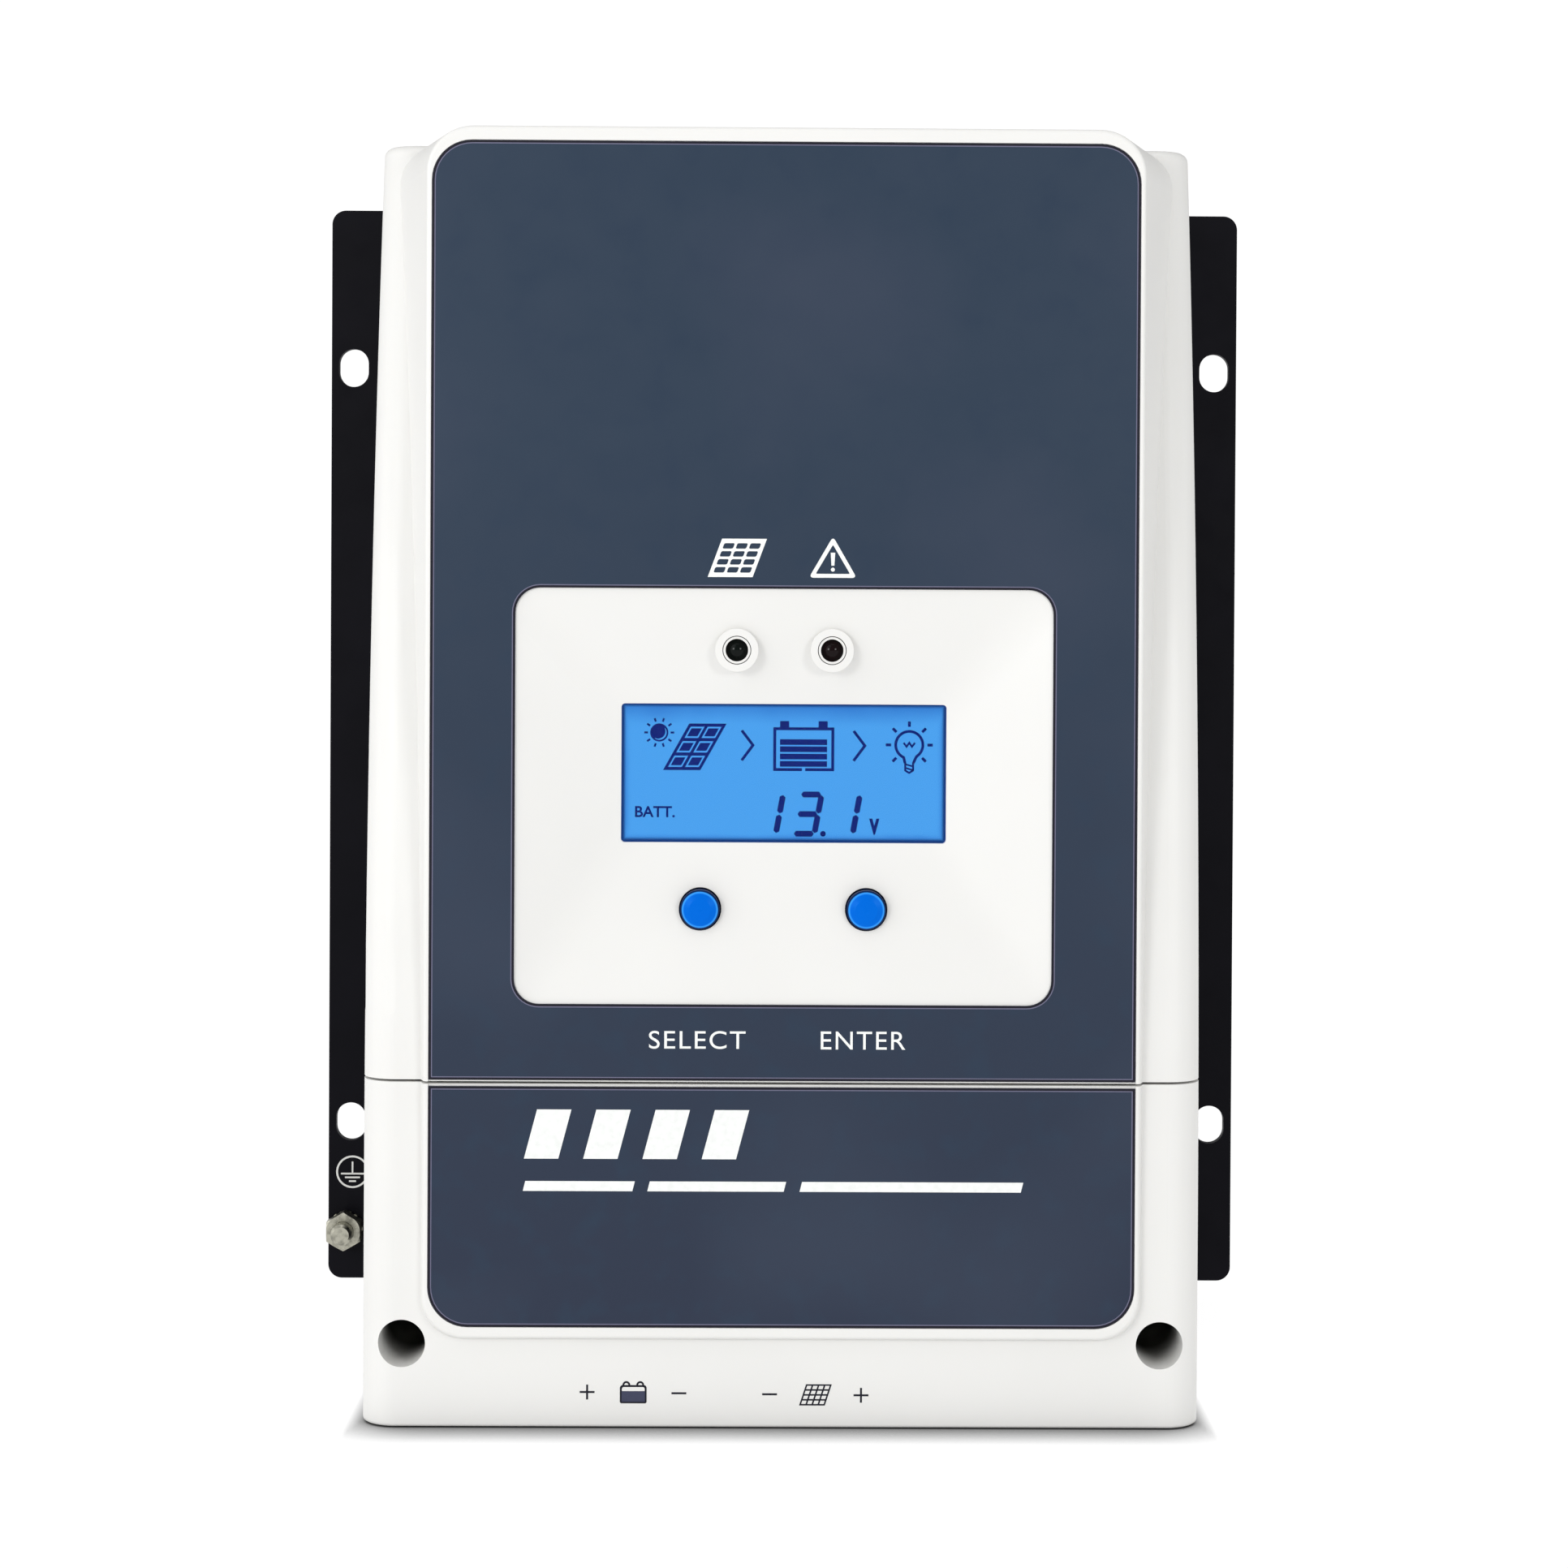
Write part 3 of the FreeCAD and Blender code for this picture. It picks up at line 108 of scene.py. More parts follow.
class Paint:
    """One procedural material on a Principled shader, built up by small steps."""

    def __init__(self, name, color, roughness, metallic=0.0, **sockets):
        self.material = bpy.data.materials.new(name)
        self.material.use_nodes = True
        self.tree = self.material.node_tree
        self.shader = self.tree.nodes["Principled BSDF"]
        self.color = color
        self.set("Base Color", color)
        self.set("Roughness", roughness)
        self.set("Metallic", metallic)
        for socket, value in sockets.items():
            self.set(socket.replace("_", " "), value)
        self.place = self.tree.nodes.new("ShaderNodeTexCoord").outputs["Object"]
        self.normal = None
        self.tint = None

    def set(self, socket, value):
        self.shader.inputs[socket].default_value = value

    def add(self, kind, links=(), **values):
        node = self.tree.nodes.new(kind)
        for key, value in values.items():
            if hasattr(node, key):
                setattr(node, key, value)
            else:
                node.inputs[key.replace("_", " ")].default_value = value
        for socket, source in links:
            self.tree.links.new(source, node.inputs[socket])
        return node

    def stretched(self, x=1.0, y=1.0, z=1.0):
        mapping = self.add("ShaderNodeMapping", [("Vector", self.place)])
        mapping.inputs["Scale"].default_value = (x, y, z)
        return mapping.outputs["Vector"]

    def noise(self, size_mm, detail=3.0, vector=None):
        """Noise whose features are about size_mm across."""
        return self.add("ShaderNodeTexNoise", [("Vector", vector or self.place)],
                        Scale=1 / (size_mm * MM), Detail=detail).outputs["Fac"]

    def bump(self, source, height_mm, strength=1.0):
        links = [("Height", source)]
        if self.normal is not None:
            links.append(("Normal", self.normal))
        node = self.add("ShaderNodeBump", links, Strength=strength, Distance=height_mm * MM)
        self.normal = node.outputs["Normal"]
        self.tree.links.new(self.normal, self.shader.inputs["Normal"])
        return self

    def vary_roughness(self, source, low, high):
        node = self.add("ShaderNodeMapRange", [("Value", source)], To_Min=low, To_Max=high,
                        From_Min=0.3, From_Max=0.7)
        self.tree.links.new(node.outputs["Result"], self.shader.inputs["Roughness"])
        return self

    def mix(self, source, other, low=0.35, high=0.65):
        """Mixes another colour in where the source is high."""
        ramp = self.add("ShaderNodeMapRange", [("Value", source)], From_Min=low, From_Max=high)
        node = self.tree.nodes.new("ShaderNodeMix")
        node.data_type = "RGBA"
        self.tree.links.new(ramp.outputs["Result"], node.inputs["Factor"])
        if self.tint is None:
            node.inputs["A"].default_value = self.color
        else:
            self.tree.links.new(self.tint, node.inputs["A"])
        node.inputs["B"].default_value = other
        self.tint = node.outputs["Result"]
        self.tree.links.new(self.tint, self.shader.inputs["Base Color"])
        return self

    def math(self, operation, first, second=0.0):
        """One arithmetic step; each input is a number or another node's output."""
        node = self.add("ShaderNodeMath", operation=operation)
        for socket, source in zip(node.inputs, (first, second)):
            if isinstance(source, (int, float)):
                socket.default_value = source
            else:
                self.tree.links.new(source, socket)
        return node.outputs["Value"]

    def from_middle(self, x_mm, z_mm):
        """How far across and how far up a point is from a centre; X counts from both sides alike."""
        split = self.add("ShaderNodeSeparateXYZ", [("Vector", self.place)])
        across = self.math("SUBTRACT", self.math("ABSOLUTE", split.outputs["X"]), x_mm * MM)
        up = self.math("SUBTRACT", split.outputs["Z"], z_mm * MM)
        return across, up

    def radius_from(self, x_mm, z_mm):
        """Distance from a line square to the wall, one on each side."""
        across, up = self.from_middle(x_mm, z_mm)
        spot = self.add("ShaderNodeCombineXYZ", [("X", across), ("Y", up)])
        length = self.add("ShaderNodeVectorMath", [(0, spot.outputs["Vector"])], operation="LENGTH")
        return length.outputs["Value"]

    def height_ramp(self, other, low_mm, high_mm):
        """Fades to another colour between two heights."""
        split = self.add("ShaderNodeSeparateXYZ", [("Vector", self.place)])
        return self.mix(split.outputs["Z"], other, low_mm * MM, high_mm * MM)

    def edges(self, other, radius_mm=0.4):
        """Shows another colour along outer edges, where handling polishes them."""
        node = self.add("ShaderNodeBevel", samples=4, Radius=radius_mm * MM)
        shape = self.add("ShaderNodeNewGeometry")
        normals = [(0, node.outputs["Normal"]), (1, shape.outputs["Normal"])]
        dot = self.add("ShaderNodeVectorMath", normals, operation="DOT_PRODUCT")
        flip = self.add("ShaderNodeMath", [(1, dot.outputs["Value"])], operation="SUBTRACT")
        flip.inputs[0].default_value = 1.0
        return self.mix(flip.outputs["Value"], other, 0.02, 0.35)


def moulded(name, color, roughness=0.42, grain_mm=0.55, height_mm=0.012, drift=0.97):
    """Moulded plastic: a fine spark-eroded grain, slow changes of gloss and a faint drift of colour."""
    paint = Paint(name, color, roughness, Specular_IOR_Level=0.45)
    paint.bump(paint.noise(grain_mm, 2.0), height_mm, 0.55)
    paint.bump(paint.noise(grain_mm * 5, 2.0), height_mm * 1.5, 0.15)
    paint.vary_roughness(paint.noise(14, 2.0), roughness - 0.05, roughness + 0.06)
    darker = tuple(value * drift for value in color[:3]) + (1.0,)
    paint.mix(paint.noise(38, 2.0), darker, 0.4, 0.6)
    return paint


def white_plastic():
    """The case: off-white moulded plastic, with painted shade that darkens it inside the deep cover
    screw recesses.
    """
    color = (0.775, 0.771, 0.752, 1.0)
    paint = moulded("white_plastic", color, 0.44, 0.5, 0.008, 0.985)
    paint.set("Subsurface Weight", 0.06)
    paint.set("Subsurface Radius", (0.002, 0.0018, 0.0014))
    # Painted shade: the case colour darkens towards near black the deeper it lies inside a cover screw
    # recess.
    radius = paint.radius_from(COVER_SCREW_X, COVER_SCREW_Z)
    split = paint.add("ShaderNodeSeparateXYZ", [("Vector", paint.place)])
    depth = paint.add("ShaderNodeMapRange", [("Value", split.outputs["Y"])],
                      From_Min=-112 * MM, From_Max=-98 * MM)
    recess_painted_shade = paint.math("MULTIPLY", paint.math("LESS_THAN", radius, RECESS_RADIUS * MM),
                        depth.outputs["Result"])
    paint.mix(recess_painted_shade, (0.030, 0.030, 0.026, 1), 0.0, 1.0)
    return paint


def film():
    """Printed polyester film with a soft fine-grained surface, and painted shade that leaves it a
    little lighter towards the top.
    """
    paint = Paint("film", (0.0175, 0.0265, 0.0530, 1), 0.40, Specular_IOR_Level=0.26)
    # Painted shade: the film darkens towards the bottom.
    paint.height_ramp((0.0190, 0.0360, 0.0650, 1), -110, 70)
    paint.mix(paint.noise(7, 4.0), (0.0165, 0.0330, 0.0630, 1), 0.50, 0.75)
    paint.mix(paint.noise(60, 1.0), (0.0300, 0.0440, 0.0760, 1), 0.50, 0.80)
    paint.bump(paint.noise(0.35, 2.0), 0.004, 0.5)
    paint.bump(paint.noise(30, 1.0), 0.05, 0.1)
    paint.vary_roughness(paint.noise(9, 3.0), 0.36, 0.45)
    return paint


def powder_coat(name, color):
    """Satin powder coat with an orange-peel skin and edges that show a little wear."""
    paint = Paint(name, color, 0.45, Specular_IOR_Level=0.07)
    paint.mix(paint.noise(18, 3.0), tuple(value * 1.3 for value in color[:3]) + (1.0,), 0.4, 0.7)
    paint.edges((0.05, 0.048, 0.055, 1), 0.3)
    paint.bump(paint.noise(0.9, 2.0), 0.02, 0.35)
    paint.bump(paint.noise(0.25, 2.0), 0.008, 0.35)
    paint.vary_roughness(paint.noise(6, 3.0), 0.38, 0.52)
    return paint


def anodised():
    """Black anodised extrusion: fine die lines along the fins and bright traces on the sharp edges."""
    paint = Paint("black_anodised", (0.022, 0.022, 0.025, 1), 0.38, 0.75)
    lines = paint.noise(0.6, 3.0, paint.stretched(1.0, 1.0, 0.01))
    paint.mix(paint.noise(22, 3.0), (0.032, 0.031, 0.034, 1), 0.4, 0.65)
    paint.edges((0.16, 0.16, 0.17, 1), 0.3)
    paint.bump(lines, 0.012, 0.5)
    paint.vary_roughness(lines, 0.3, 0.48)
    return paint


def plated_steel(name, color, roughness=0.3):
    """Zinc or tin plate: turned marks and blotches of tone."""
    paint = Paint(name, color, roughness, 1.0)
    paint.mix(paint.noise(1.6, 4.0), tuple(value * 0.5 for value in color[:3]) + (1.0,), 0.45, 0.7)
    paint.bump(paint.noise(0.18, 3.0), 0.006, 0.4)
    paint.vary_roughness(paint.noise(0.9, 3.0), roughness - 0.08, roughness + 0.16)
    return paint


def circuit_board():
    """Green solder mask over copper: faint tracks show as lighter lines."""
    paint = Paint("solder_mask", (0.010, 0.085, 0.032, 1), 0.32, Coat_Weight=0.3, Coat_Roughness=0.12)
    tracks = paint.add("ShaderNodeTexBrick", [("Vector", paint.place)], Scale=160.0, Mortar_Size=0.012)
    paint.mix(tracks.outputs["Fac"], (0.030, 0.17, 0.062, 1), 0.2, 0.8)
    paint.bump(paint.noise(0.8, 2.0), 0.01, 0.3)
    return paint


def lamp_lens(name, color):
    """A tinted epoxy lens, dark when unlit and smooth enough to catch small sharp highlights."""
    paint = Paint(name, color, 0.04, Specular_IOR_Level=0.16)
    paint.mix(paint.noise(2.2, 2.0), tuple(value * 1.8 for value in color[:3]) + (1.0,), 0.45, 0.7)
    return paint


def display_glass():
    """The lit blue background of the display, with painted shade that makes it a little darker and
    greener towards its edges, widest below the top edge, and a thin painted shadow line round the rim.
    """
    paint = Paint("display_blue", (0.030, 0.170, 0.400, 1), 0.25, Specular_IOR_Level=0.25)
    across, up = paint.from_middle(0, WINDOW_MIDDLE)
    side_gap = paint.math("SUBTRACT", WINDOW_HALF[0] * MM, across)
    top_gap = paint.math("SUBTRACT", WINDOW_HALF[1] * MM, up)
    foot_gap = paint.math("ADD", WINDOW_HALF[1] * MM, up)
    low_gap = paint.math("MINIMUM", side_gap, foot_gap)
    gap = paint.math("MINIMUM", low_gap, top_gap)
    # Painted shade: a darker band along the edges, reaching furthest in below the top edge.
    spread = paint.math("MINIMUM", paint.math("MULTIPLY", low_gap, 2.5), top_gap)
    cloud = paint.math("MULTIPLY", paint.noise(9, 2.0), 0.0025)
    shade = paint.add("ShaderNodeMapRange", [("Value", paint.math("ADD", spread, cloud))],
                      From_Min=0.0008, From_Max=0.0055)
    glow = paint.add("ShaderNodeValToRGB", [("Fac", shade.outputs["Result"])])
    glow.color_ramp.elements[0].color = (0.020, 0.130, 0.370, 1)
    glow.color_ramp.elements[1].color = (0.064, 0.295, 0.550, 1)
    # Painted shadow: a thin dark line right round the window's rim.
    rim_painted_shadow = paint.add("ShaderNodeMapRange", [("Value", gap)], From_Min=0.0003, From_Max=0.0009)
    node = paint.tree.nodes.new("ShaderNodeMix")
    node.data_type = "RGBA"
    paint.tree.links.new(rim_painted_shadow.outputs["Result"], node.inputs["Factor"])
    node.inputs["A"].default_value = (0.004, 0.030, 0.120, 1)
    paint.tree.links.new(glow.outputs["Color"], node.inputs["B"])
    paint.tree.links.new(node.outputs["Result"], paint.shader.inputs["Emission Color"])
    paint.set("Emission Strength", 1.0)
    return paint


def clear_pane():
    paint = Paint("clear_pane", (1, 1, 1, 1), 0.03, Transmission_Weight=1.0, IOR=1.2)
    paint.bump(paint.noise(20, 1.0), 0.01, 0.05)
    return paint


def rubber():
    paint = Paint("black_rubber", (0.018, 0.018, 0.019, 1), 0.72, Specular_IOR_Level=0.3)
    paint.mix(paint.noise(3, 3.0), (0.034, 0.033, 0.032, 1), 0.45, 0.75)
    paint.bump(paint.noise(0.3, 3.0), 0.015, 0.5)
    return paint


def winding():
    """Enamelled copper wire, wound as fine parallel turns."""
    paint = Paint("enamelled_copper", (0.50, 0.16, 0.05, 1), 0.25, 0.9, Coat_Weight=0.5)
    wave = paint.add("ShaderNodeTexWave", [("Vector", paint.place)], Scale=260.0, Distortion=1.5)
    paint.mix(wave.outputs["Fac"], (0.20, 0.055, 0.02, 1), 0.2, 0.8)
    paint.bump(wave.outputs["Fac"], 0.25, 0.8)
    return paint


def button_blue():
    """Glossy blue plastic with a painted highlight on the dome's rim and painted shade on the wall
    below it.
    """
    paint = Paint("button_blue", (0.0, 0.128, 0.640, 1), 0.3, Specular_IOR_Level=0.2)
    paint.set("Specular Tint", (0.15, 0.5, 1.0, 1))
    paint.mix(paint.noise(4, 2.0), (0.0, 0.125, 0.640, 1), 0.4, 0.65)
    radius = paint.radius_from(*BUTTON_MIDDLE)
    # Painted highlight: a lighter ring on the dome's rim.
    paint.mix(radius, (0.035, 0.300, 0.860, 1), 3.2 * MM, 3.45 * MM)
    # Painted shade: a dark ring round the dome, on the wall below it.
    paint.mix(radius, (0.002, 0.012, 0.070, 1), 3.58 * MM, 3.72 * MM)
    paint.bump(paint.noise(0.4, 2.0), 0.004, 0.3)
    return paint


def ink(name, color, roughness=0.5, shine=0.25):
    """Screen-printed ink, slightly uneven."""
    paint = Paint(name, color, roughness, Specular_IOR_Level=shine)
    paint.mix(paint.noise(1.2, 3.0), tuple(value * 0.94 for value in color[:3]) + (1.0,), 0.45, 0.7)
    paint.bump(paint.noise(0.2, 2.0), 0.003, 0.4)
    return paint.material


def make_materials():
    """One finished material for each of the record's slots."""
    return {
        "white_plastic": white_plastic(),
        "film": film(),
        "ear_metal": powder_coat("ear_coat", (0.0032, 0.0030, 0.0052, 1)),
        "sink_metal": anodised(),
        "zinc_steel": plated_steel("zinc_plate", (0.44, 0.43, 0.36, 1)),
        "black_steel": plated_steel("black_oxide", (0.05, 0.05, 0.052, 1), 0.4),
        "clear_pane": clear_pane(),
        "lcd_glass": display_glass(),
        "backlight": moulded("backlight_white", (0.8, 0.82, 0.84, 1), 0.3),
        "green_lamp": lamp_lens("green_lens", (0.0002, 0.0014, 0.0008, 1)),
        "red_lamp": lamp_lens("red_lens", (0.0036, 0.0002, 0.0006, 1)),
        "blue_button": button_blue(),
        "board_green": circuit_board(),
        "black_plastic": moulded("black_plastic", (0.018, 0.018, 0.020, 1), 0.5, drift=0.8),
        "grey_ribbon": moulded("grey_ribbon", (0.42, 0.42, 0.43, 1), 0.5),
        "ferrite": moulded("core_coat", (0.62, 0.45, 0.06, 1), 0.4, drift=0.85),
        "copper": winding(),
        "can_sleeve": moulded("can_sleeve", (0.012, 0.020, 0.06, 1), 0.25, drift=0.8),
        "pad_grey": rubber(),
        "terminal_green": moulded("terminal_black", (0.014, 0.014, 0.016, 1), 0.48, drift=0.8),
        "plated_brass": plated_steel("tin_plate", (0.70, 0.66, 0.54, 1), 0.28),
        "black_rubber": rubber(),
    }


def dress_nodes(paints):
    slots = {part["node"]: part["material_slot"] for part in frame["record"]["subparts"]}
    for name, piece in nodes.items():
        piece.data.materials.clear()
        piece.data.materials.append(paints[slots[name]].material)


# ---------------------------------------------------------------- flat marks

def flat_mark(name, outlines, front, material, body, thick=INK_THICK):
    """A thin printed shape from closed (x, z) loops in millimetres. An inner loop is a hole."""
    curve = bpy.data.curves.new(name, "CURVE")
    curve.dimensions = "2D"
    curve.fill_mode = "BOTH"
    curve.extrude = thick / 2
    for loop in outlines:
        spline = curve.splines.new("POLY")
        spline.points.add(len(loop) - 1)
        for point, (x, z) in zip(spline.points, loop):
            point.co = (x, z, 0, 1)
        spline.use_cyclic_u = True
    return settle(name, curve, front, material, body, thick)


def settle(name, curve, front, material, body, thick):
    """Turns a flat curve or text into a mesh that faces the viewer at the given Y."""
    holder = bpy.data.objects.new(name + "_draft", curve)
    bpy.context.scene.collection.objects.link(holder)
    bpy.context.view_layer.update()
    depsgraph = bpy.context.evaluated_depsgraph_get()
    mesh = bpy.data.meshes.new_from_object(holder.evaluated_get(depsgraph))
    bpy.data.objects.remove(holder)
    bpy.data.curves.remove(curve)
    upright = Matrix.Rotation(math.radians(90), 4, "X")
    mesh.transform(Matrix.Scale(MM, 4) @ Matrix.Translation((0, front - thick / 2, 0)) @ upright)
    mesh.name = name
    piece = bpy.data.objects.new(name, mesh)
    bpy.context.scene.collection.objects.link(piece)
    mesh.materials.clear()
    mesh.materials.append(material)
    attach(piece, body)
    return piece


def legend(name, words, middle, tall, wide, front, material, body, thick=INK_THICK, weight=0.0,
           spacing=1.12):
    """Plain capitals, fitted to a cap height and a width and centred on a point."""
    text = bpy.data.curves.new(name, "FONT")
    text.body = words
    text.align_x = "CENTER"
    text.align_y = "CENTER"
    text.extrude = thick / 2
    text.size = tall / 0.70
    text.offset = tall * weight
    text.space_character = spacing
    piece = settle(name, text, front, material, body, thick)
    across = [vertex.co.x for vertex in piece.data.vertices]
    along = [vertex.co.z for vertex in piece.data.vertices]
    stretch = wide * MM / (max(across) - min(across))
    lift = tall * MM / (max(along) - min(along))
    centre_x = (max(across) + min(across)) / 2
    centre_z = (max(along) + min(along)) / 2
    for vertex in piece.data.vertices:
        vertex.co.x = (vertex.co.x - centre_x) * stretch + middle[0] * MM
        vertex.co.z = (vertex.co.z - centre_z) * lift + middle[1] * MM
    return piece


def rect(left, right, low, high):
    return [(left, low), (right, low), (right, high), (left, high)]


def ring_points(x, z, radius, count=40):
    return [(x + radius * math.cos(math.tau * i / count), z + radius * math.sin(math.tau * i / count))
            for i in range(count)]


def rounded(left, right, low, high, radii, steps=10):
    """A rectangle's outline with its own radius at each corner, from lower left round to upper left."""
    corners = [(left, low, 180), (right, low, 270), (right, high, 0), (left, high, 90)]
    points = []
    for (x, z, start), radius in zip(corners, radii):
        centre_x = x + (radius if x == left else -radius)
        centre_z = z + (radius if z == low else -radius)
        for step in range(steps + 1):
            angle = math.radians(start + 90 * step / steps)
            points.append((centre_x + radius * math.cos(angle), centre_z + radius * math.sin(angle)))
    return points


def stroke(points, wide):
    """The outline of an open line of constant width, with square ends and mitred turns."""
    left = []
    right = []
    for i, (x, z) in enumerate(points):
        before = Vector(points[max(i - 1, 0)])
        here = Vector((x, z))
        after = Vector(points[min(i + 1, len(points) - 1)])
        ways = [way.normalized() for way in (here - before, after - here) if way.length > 0]
        way = sum(ways, Vector((0, 0))).normalized()
        side = Vector((-way.y, way.x))
        reach = wide / 2 / max(side.dot(Vector((-ways[0].y, ways[0].x))), 0.3)
        left.append(tuple(here + side * reach))
        right.append(tuple(here - side * reach))
    return left + right[::-1]


def lean(left, low, tall, slant):
    """Maps millimetres across and up a sheet that leans to the right at its top."""
    def place(u, v):
        return (left + u + slant * v / tall, low + v)
    return place


def panel_icon(place, size, counts, cell, gap, corner):
    """A leaning solar panel with a hole for each cell, and each cell's lower left corner."""
    wide, tall = size
    loops = [[place(0, 0), place(wide, 0), place(wide, tall), place(0, tall)]]
    start_u = (wide - counts[0] * cell[0] - (counts[0] - 1) * gap[0]) / 2
    start_v = (tall - counts[1] * cell[1] - (counts[1] - 1) * gap[1]) / 2
    spots = []
    for column in range(counts[0]):
        for row in range(counts[1]):
            u = start_u + column * (cell[0] + gap[0])
            v = start_v + row * (cell[1] + gap[1])
            spots.append((u, v))
            hole = rounded(u, u + cell[0], v, v + cell[1], (corner,) * 4, 4)
            loops.append([place(*point) for point in hole][::-1])
    return loops, spots


# ---------------------------------------------------------------- prints on the films and the case

def film_borders():
    """A dark line along the edge of each film, with a paler hairline just inside it."""
    dark = ink("film_edge", srgb(14, 13, 30))
    pale = ink("film_edge_line", srgb(104, 104, 128))
    corner = 8.0
    upper = (FILM_LOW[0], FILM_HIGH[0], FILM_LOW[2], FILM_HIGH[2], (0.3, 0.3, corner, corner))
    lower = (COVER_FILM_LOW[0], COVER_FILM_HIGH[0], COVER_FILM_LOW[2], COVER_FILM_HIGH[2],
             (corner, corner, 0.3, 0.3))
    mouth = (-54.0, 54.0, -45.6, 38.0, (5.0,) * 4)
    border("upper_film_edge", upper, 0.0, 0.48, dark, "controller")
    border("upper_film_line", upper, 0.48, 0.68, pale, "controller")
    border("cover_film_edge", lower, 0.0, 0.48, dark, "terminal_cover")
    border("cover_film_line", lower, 0.48, 0.68, pale, "terminal_cover")
    border("mouth_film_edge", mouth, -0.48, 0.0, dark, "controller")
    border("mouth_film_line", mouth, -0.68, -0.48, pale, "controller")


def border(name, shape, outer, inner, material, body):
    """A narrow frame between two insets of a rounded rectangle."""
    left, right, low, high, radii = shape
    loops = []
    for inset in (outer, inner):
        turned = tuple(max(radius - inset, 0.05) for radius in radii)
        loops.append(rounded(left + inset, right - inset, low + inset, high - inset, turned))
    loops[1].reverse()
    flat_mark(name, loops, FILM_FRONT, material, body)


def film_prints():
    """White marks on the upper film: panel and warning signs above the lamps, plain button legends."""
    white = ink("white_ink", srgb(236, 238, 236))
    sheet, _ = panel_icon(lean(-15.5, 40.3, 7.7, 2.85), (9.0, 7.7), (3, 4),
                          (2.12, 1.1), (0.52, 0.5), 0.3)
    flat_mark("charging_mark", sheet, FILM_FRONT, white, "controller")
    outer = triangle(9.6, 48.55, 4.8, 8.29, 0.6)
    inner = triangle(9.6, 46.9, 3.45, 5.85, 0.2)
    flat_mark("fault_mark", [outer, inner[::-1]], FILM_FRONT, white, "controller")
    flat_mark("fault_stem", [[(9.15, 45.3), (9.3, 42.7), (9.9, 42.7), (10.05, 45.3)]],
              FILM_FRONT, white, "controller")
    flat_mark("fault_dot", [ring_points(9.6, 41.9, 0.4, 20)], FILM_FRONT, white, "controller")
    for words, x, wide in (("SELECT", -17.1, 19.4), ("ENTER", 16.2, 17.0)):
        legend(words.lower() + "_legend", words, (x, -52.7), 3.6, wide, FILM_FRONT, white,
               "controller")
    cover_prints(white)


def triangle(x, top, half, tall, radius):
    """An upright triangle with round corners."""
    corners = [Vector((x - half, top - tall)), Vector((x + half, top - tall)), Vector((x, top))]
    points = []
    for i, corner in enumerate(corners):
        before = (corners[i - 1] - corner).normalized()
        after = (corners[(i + 1) % 3] - corner).normalized()
        start = corner + before * radius * 1.7
        end = corner + after * radius * 1.7
        for step in range(9):
            t = step / 8
            points.append(tuple(start * (1 - t) ** 2 + corner * 2 * t * (1 - t) + end * t ** 2))
    return points


def cover_prints(white):
    """A plain band of leaning bars with a rule below it, in place of wording."""
    bars = [(-51.8 + number * 11.9, -42.3 + number * 11.9) for number in range(4)]
    rules = ((-52.0, -29.5), (-27.0, 0.9), (3.6, 48.6))
    rows = (("bar", bars, -76.7, -66.8, 2.6), ("rule", rules, -83.2, -81.2, 0.5))
    for kind, spans, low, high, slant in rows:
        for number, (start, end) in enumerate(spans):
            outline = [(start, low), (end - slant, low), (end, high), (start + slant, high)]
            flat_mark(f"cover_{kind}_{number + 1}", [outline], FILM_FRONT, white,
                      "terminal_cover")


def pole_marks():
    """Signs below the cover film that say which terminal is which."""
    navy = ink("navy_ink", (0.0045, 0.0045, 0.0125, 1), 0.6)
    fill = ink("slate_ink", (0.045, 0.050, 0.094, 1), 0.6)
    body = "terminal_cover"
    bar = 0.2
    arm = 1.5
    plus = [(-arm, -bar), (-bar, -bar), (-bar, -arm), (bar, -arm), (bar, -bar), (arm, -bar), (arm, bar),
            (bar, bar), (bar, arm), (-bar, arm), (-bar, bar), (-arm, bar)]
    for name, x, z in (("battery_plus", -39.0, -124.2), ("solar_plus", 16.25, -124.7)):
        flat_mark(name, [[(x + u, z + v) for u, v in plus]], CASE_FRONT, navy, body)
    for name, x, z in (("battery_minus", -20.5, -124.4), ("solar_minus", -2.2, -124.55)):
        flat_mark(name, [rect(x - arm, x + arm, z - bar, z + bar)], CASE_FRONT, navy, body)
    left, right, low, high = -32.4, -27.0, -126.46, -122.77
    shell = rounded(left, right, low, high, (0.35, 0.35, 0.6, 0.6))
    gap = rounded(left + 0.4, right - 0.4, -124.0, high - 0.4, (0.05, 0.05, 0.4, 0.4))
    flat_mark("battery_case", [shell, gap[::-1]], CASE_FRONT, navy, body)
    flat_mark("battery_level", [rect(left + 0.35, right - 0.35, low + 0.35, -124.0)],
              CASE_FRONT - INK_THICK, fill, body)
    for name, x in (("battery_post_left", -31.1), ("battery_post_right", -28.3)):
        arch = [(x + 0.8 * math.cos(math.radians(a)), high - 0.05 + 0.85 * math.sin(math.radians(a)))
                for a in range(0, 181, 12)]
        hole = [(x + 0.42 * math.cos(math.radians(a)), high - 0.05 + 0.45 * math.sin(math.radians(a)))
                for a in range(180, -1, -12)]
        flat_mark(name, [arch + hole], CASE_FRONT, navy, body)
    sheet, _ = panel_icon(lean(3.75, -126.8, 4.3, 1.4), (5.2, 4.3), (4, 4),
                          (0.88, 0.68), (0.34, 0.32), 0.05)
    flat_mark("solar_sheet", sheet, CASE_FRONT, navy, body)


def lamp_rings(paints):
    """The pale holder that shows as a narrow ring round each lamp's dome."""
    for name in ("charging_lamp", "fault_lamp"):
        low, high = millimetres(name)
        x, z = (low[0] + high[0]) / 2, LAMP_LEVEL
        ring = [ring_points(x, z, 2.74, 56), ring_points(x, z, 2.28, 56)[::-1]]
        flat_mark(name + "_holder", ring, HOLDER_BACK, paints["white_plastic"].material,
                  "controller", HOLDER_THICK)


